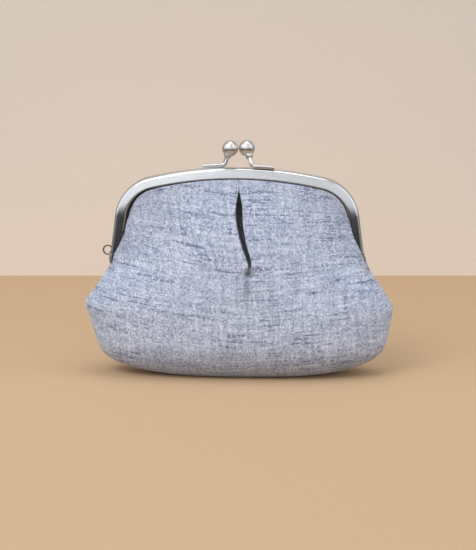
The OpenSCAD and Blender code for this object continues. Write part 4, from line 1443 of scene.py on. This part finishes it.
def make_world(scene):
    """Soft boxes and dark studio gaps, as levels that depend only on the direction."""
    world = bpy.data.worlds.new("studio")
    scene.world = world
    world.use_nodes = True
    w = Nodes(world.node_tree)
    split = w.add("ShaderNodeSeparateXYZ")
    w.link(w.add("ShaderNodeTexCoord").outputs["Generated"], split.inputs[0])
    x, y, z = split.outputs
    aside = w.math("ABSOLUTE", x)
    left = w.ramp(x, 0.15, -0.15)
    front = w.ramp(y, 0.15, -0.10)

    def all_of(*masks):
        out = masks[0]
        for mask in masks[1:]:
            out = w.math("MULTIPLY", out, mask)
        return out

    # a soft box in front, brighter on the left, a narrow one on the right, and a dark gap below them
    beside = w.math("MAXIMUM", w.ramp(aside, 0.55, 0.70), w.ramp(y, 0.05, 0.25))
    low_side = all_of(w.ramp(z, 0.20, 0.05), beside)
    level = w.math("SUBTRACT", w.ramp(y, 0.30, 0.05, 0.44, 0.56), w.math("MULTIPLY", low_side, 0.22))
    for mask, value in (
            (all_of(front, left, w.ramp(z, -0.04, 0.05)), 1.33),
            (all_of(front, w.math("SUBTRACT", 1.0, left), w.ramp(z, -0.04, 0.05)), 1.02),
            (w.ramp(z, 0.72, 0.88), 0.62),
            (all_of(w.ramp(x, 0.45, 0.60), w.ramp(y, -0.50, -0.38), w.ramp(y, 0.16, 0.05),
                    w.ramp(z, 0.10, 0.22)), 1.6),
            (all_of(w.ramp(y, 0.05, -0.05), w.ramp(aside, 0.94, 0.86),
                    w.ramp(z, -0.75, -0.60), w.ramp(z, 0.02, -0.06)), 0.02)):
        shade = w.add("ShaderNodeMix", data_type="FLOAT")
        w.put(shade.inputs[0], mask)
        w.put(shade.inputs[2], level)
        shade.inputs[3].default_value = value
        level = shade.outputs[0]
    back = world.node_tree.nodes["Background"]
    back.inputs["Color"].default_value = (0.98, 0.99, 1.0, 1.0)
    w.link(level, back.inputs["Strength"])


class PurseMakeStage(bpy.types.Operator):
    """Makes the floor, the backdrop, the studio lights, the world and the camera"""
    bl_idname = "purse.make_stage"
    bl_label = "Stage"

    def execute(self, context):
        scene = context.scene
        c = scene.purse_colours
        mat, n, shader = material("stage_floor_paper")
        grain = n.noise(object_place(n), 900.0, 3.0, 0.7)
        low = tuple(v * 0.93 for v in c.floor)
        paper = n.mix(n.ramp(grain, 0.3, 0.7), low, tuple(c.floor))
        split = n.add("ShaderNodeSeparateXYZ")
        n.link(object_place(n), split.inputs[0])
        # painted shade: the floor paper darkens by up to a tenth towards the back
        painted_shade_behind = n.ramp(split.outputs[1], -0.05, 0.18, 0.0, 0.10)
        n.link(n.mix(painted_shade_behind, paper, (0.0, 0.0, 0.0)), shader.inputs["Base Color"])
        shader.inputs["Roughness"].default_value = 0.85
        shader.inputs["Specular IOR Level"].default_value = 0.2
        # the far edge of the floor and the backdrop are square to the camera's view
        stage_plane("stage_floor", [(-0.13, -0.265, 0), (0.13, -0.265, 0), (0.26, 0.27, 0),
                                    (-0.26, 0.242, 0)], mat)
        mat, n, shader = material("stage_wall_paper")
        shader.inputs["Base Color"].default_value = (*c.wall, 1)
        shader.inputs["Roughness"].default_value = 0.9
        shader.inputs["Specular IOR Level"].default_value = 0.1
        clear = n.add("ShaderNodeBsdfTransparent")
        back = n.add("ShaderNodeNewGeometry")
        both = n.add("ShaderNodeMixShader")
        n.link(back.outputs["Backfacing"], both.inputs[0])
        n.link(shader.outputs[0], both.inputs[1])
        n.link(clear.outputs[0], both.inputs[2])
        out = mat.node_tree.nodes["Material Output"]
        n.link(both.outputs[0], out.inputs["Surface"])
        stage_plane("stage_backdrop", [(-0.3, 0.24, -0.02), (0.3, 0.272, -0.02), (0.3, 0.272, 0.34),
                                       (-0.3, 0.24, 0.34)], mat)

        area_light("key_light", (-0.60, -0.85, 1.25), (0, 0, 0.05), (0.7, 0.7), 7.5)
        area_light("top_light", (0.05, 0.05, 1.5), (0, 0, 0.05), (1.0, 0.8), 5.0)
        make_world(scene)

        data = bpy.data.cameras.new("photo_camera")
        camera = bpy.data.objects.new("photo_camera", data)
        scene.collection.objects.link(camera)
        scene.camera = camera
        azimuth, elevation, distance = math.radians(3.0), math.radians(10.5), 0.8
        target = Vector((0.00048, 0, 0.0478))
        way = Vector((math.sin(azimuth) * math.cos(elevation), -math.cos(azimuth) * math.cos(elevation),
                      math.sin(elevation)))
        camera.location = target + way * distance
        camera.rotation_euler = (-way).to_track_quat("-Z", "Y").to_euler()
        data.sensor_fit = "HORIZONTAL"
        data.sensor_width = 36.0
        data.lens = 36.0 * (distance / 0.00048) / 476
        data.clip_start = 0.01
        data.clip_end = 20.0
        scene.view_settings.view_transform = "Standard"
        return {"FINISHED"}


class VIEW3D_PT_purse(bpy.types.Panel):
    """Sizes, colours and the operators that make the purse"""
    bl_label = "Coin purse"
    bl_idname = "VIEW3D_PT_purse"
    bl_space_type = "VIEW_3D"
    bl_region_type = "UI"
    bl_category = "Purse"

    def draw(self, context):
        layout = self.layout
        for title, group in SIZE_GROUPS:
            box = layout.box()
            box.label(text=title)
            settings = getattr(context.scene, group)
            for key in settings.__annotations__:
                box.prop(settings, key)
        for operator in OPERATORS:
            layout.operator(operator.bl_idname)


SIZE_GROUPS = (("Frame", "purse_frame"), ("Clasp", "purse_clasp"), ("Wire eye and pins", "purse_eye"),
               ("Pouch", "purse_pouch"), ("Colours", "purse_colours"))
PROPERTY_GROUPS = (PurseFrameSizes, PurseClaspSizes, PurseEyeSizes, PursePouchSizes, PurseColours)
OPERATORS = (PurseMakeFrames, PurseMakeClasp, PurseMakeHinges, PurseMakeOuterCloth, PurseMakePadding,
             PurseMakeLining, PurseMakePaperCords, PurseMakeStitches, PurseMakeStage)


def register():
    for cls in PROPERTY_GROUPS + OPERATORS + (VIEW3D_PT_purse,):
        bpy.utils.register_class(cls)
    for (_, name), cls in zip(SIZE_GROUPS, PROPERTY_GROUPS):
        setattr(bpy.types.Scene, name, PointerProperty(type=cls))


def unregister():
    for _, name in SIZE_GROUPS:
        delattr(bpy.types.Scene, name)
    for cls in reversed(PROPERTY_GROUPS + OPERATORS + (VIEW3D_PT_purse,)):
        bpy.utils.unregister_class(cls)


def main():
    register()
    bpy.ops.purse.make_frames()
    bpy.ops.purse.make_clasp()
    bpy.ops.purse.make_hinges()
    bpy.ops.purse.make_outer_cloth()
    bpy.ops.purse.make_padding()
    bpy.ops.purse.make_lining()
    bpy.ops.purse.make_paper_cords()
    bpy.ops.purse.make_stitches()
    bpy.ops.purse.make_stage()


if __name__ == "__main__":
    main()
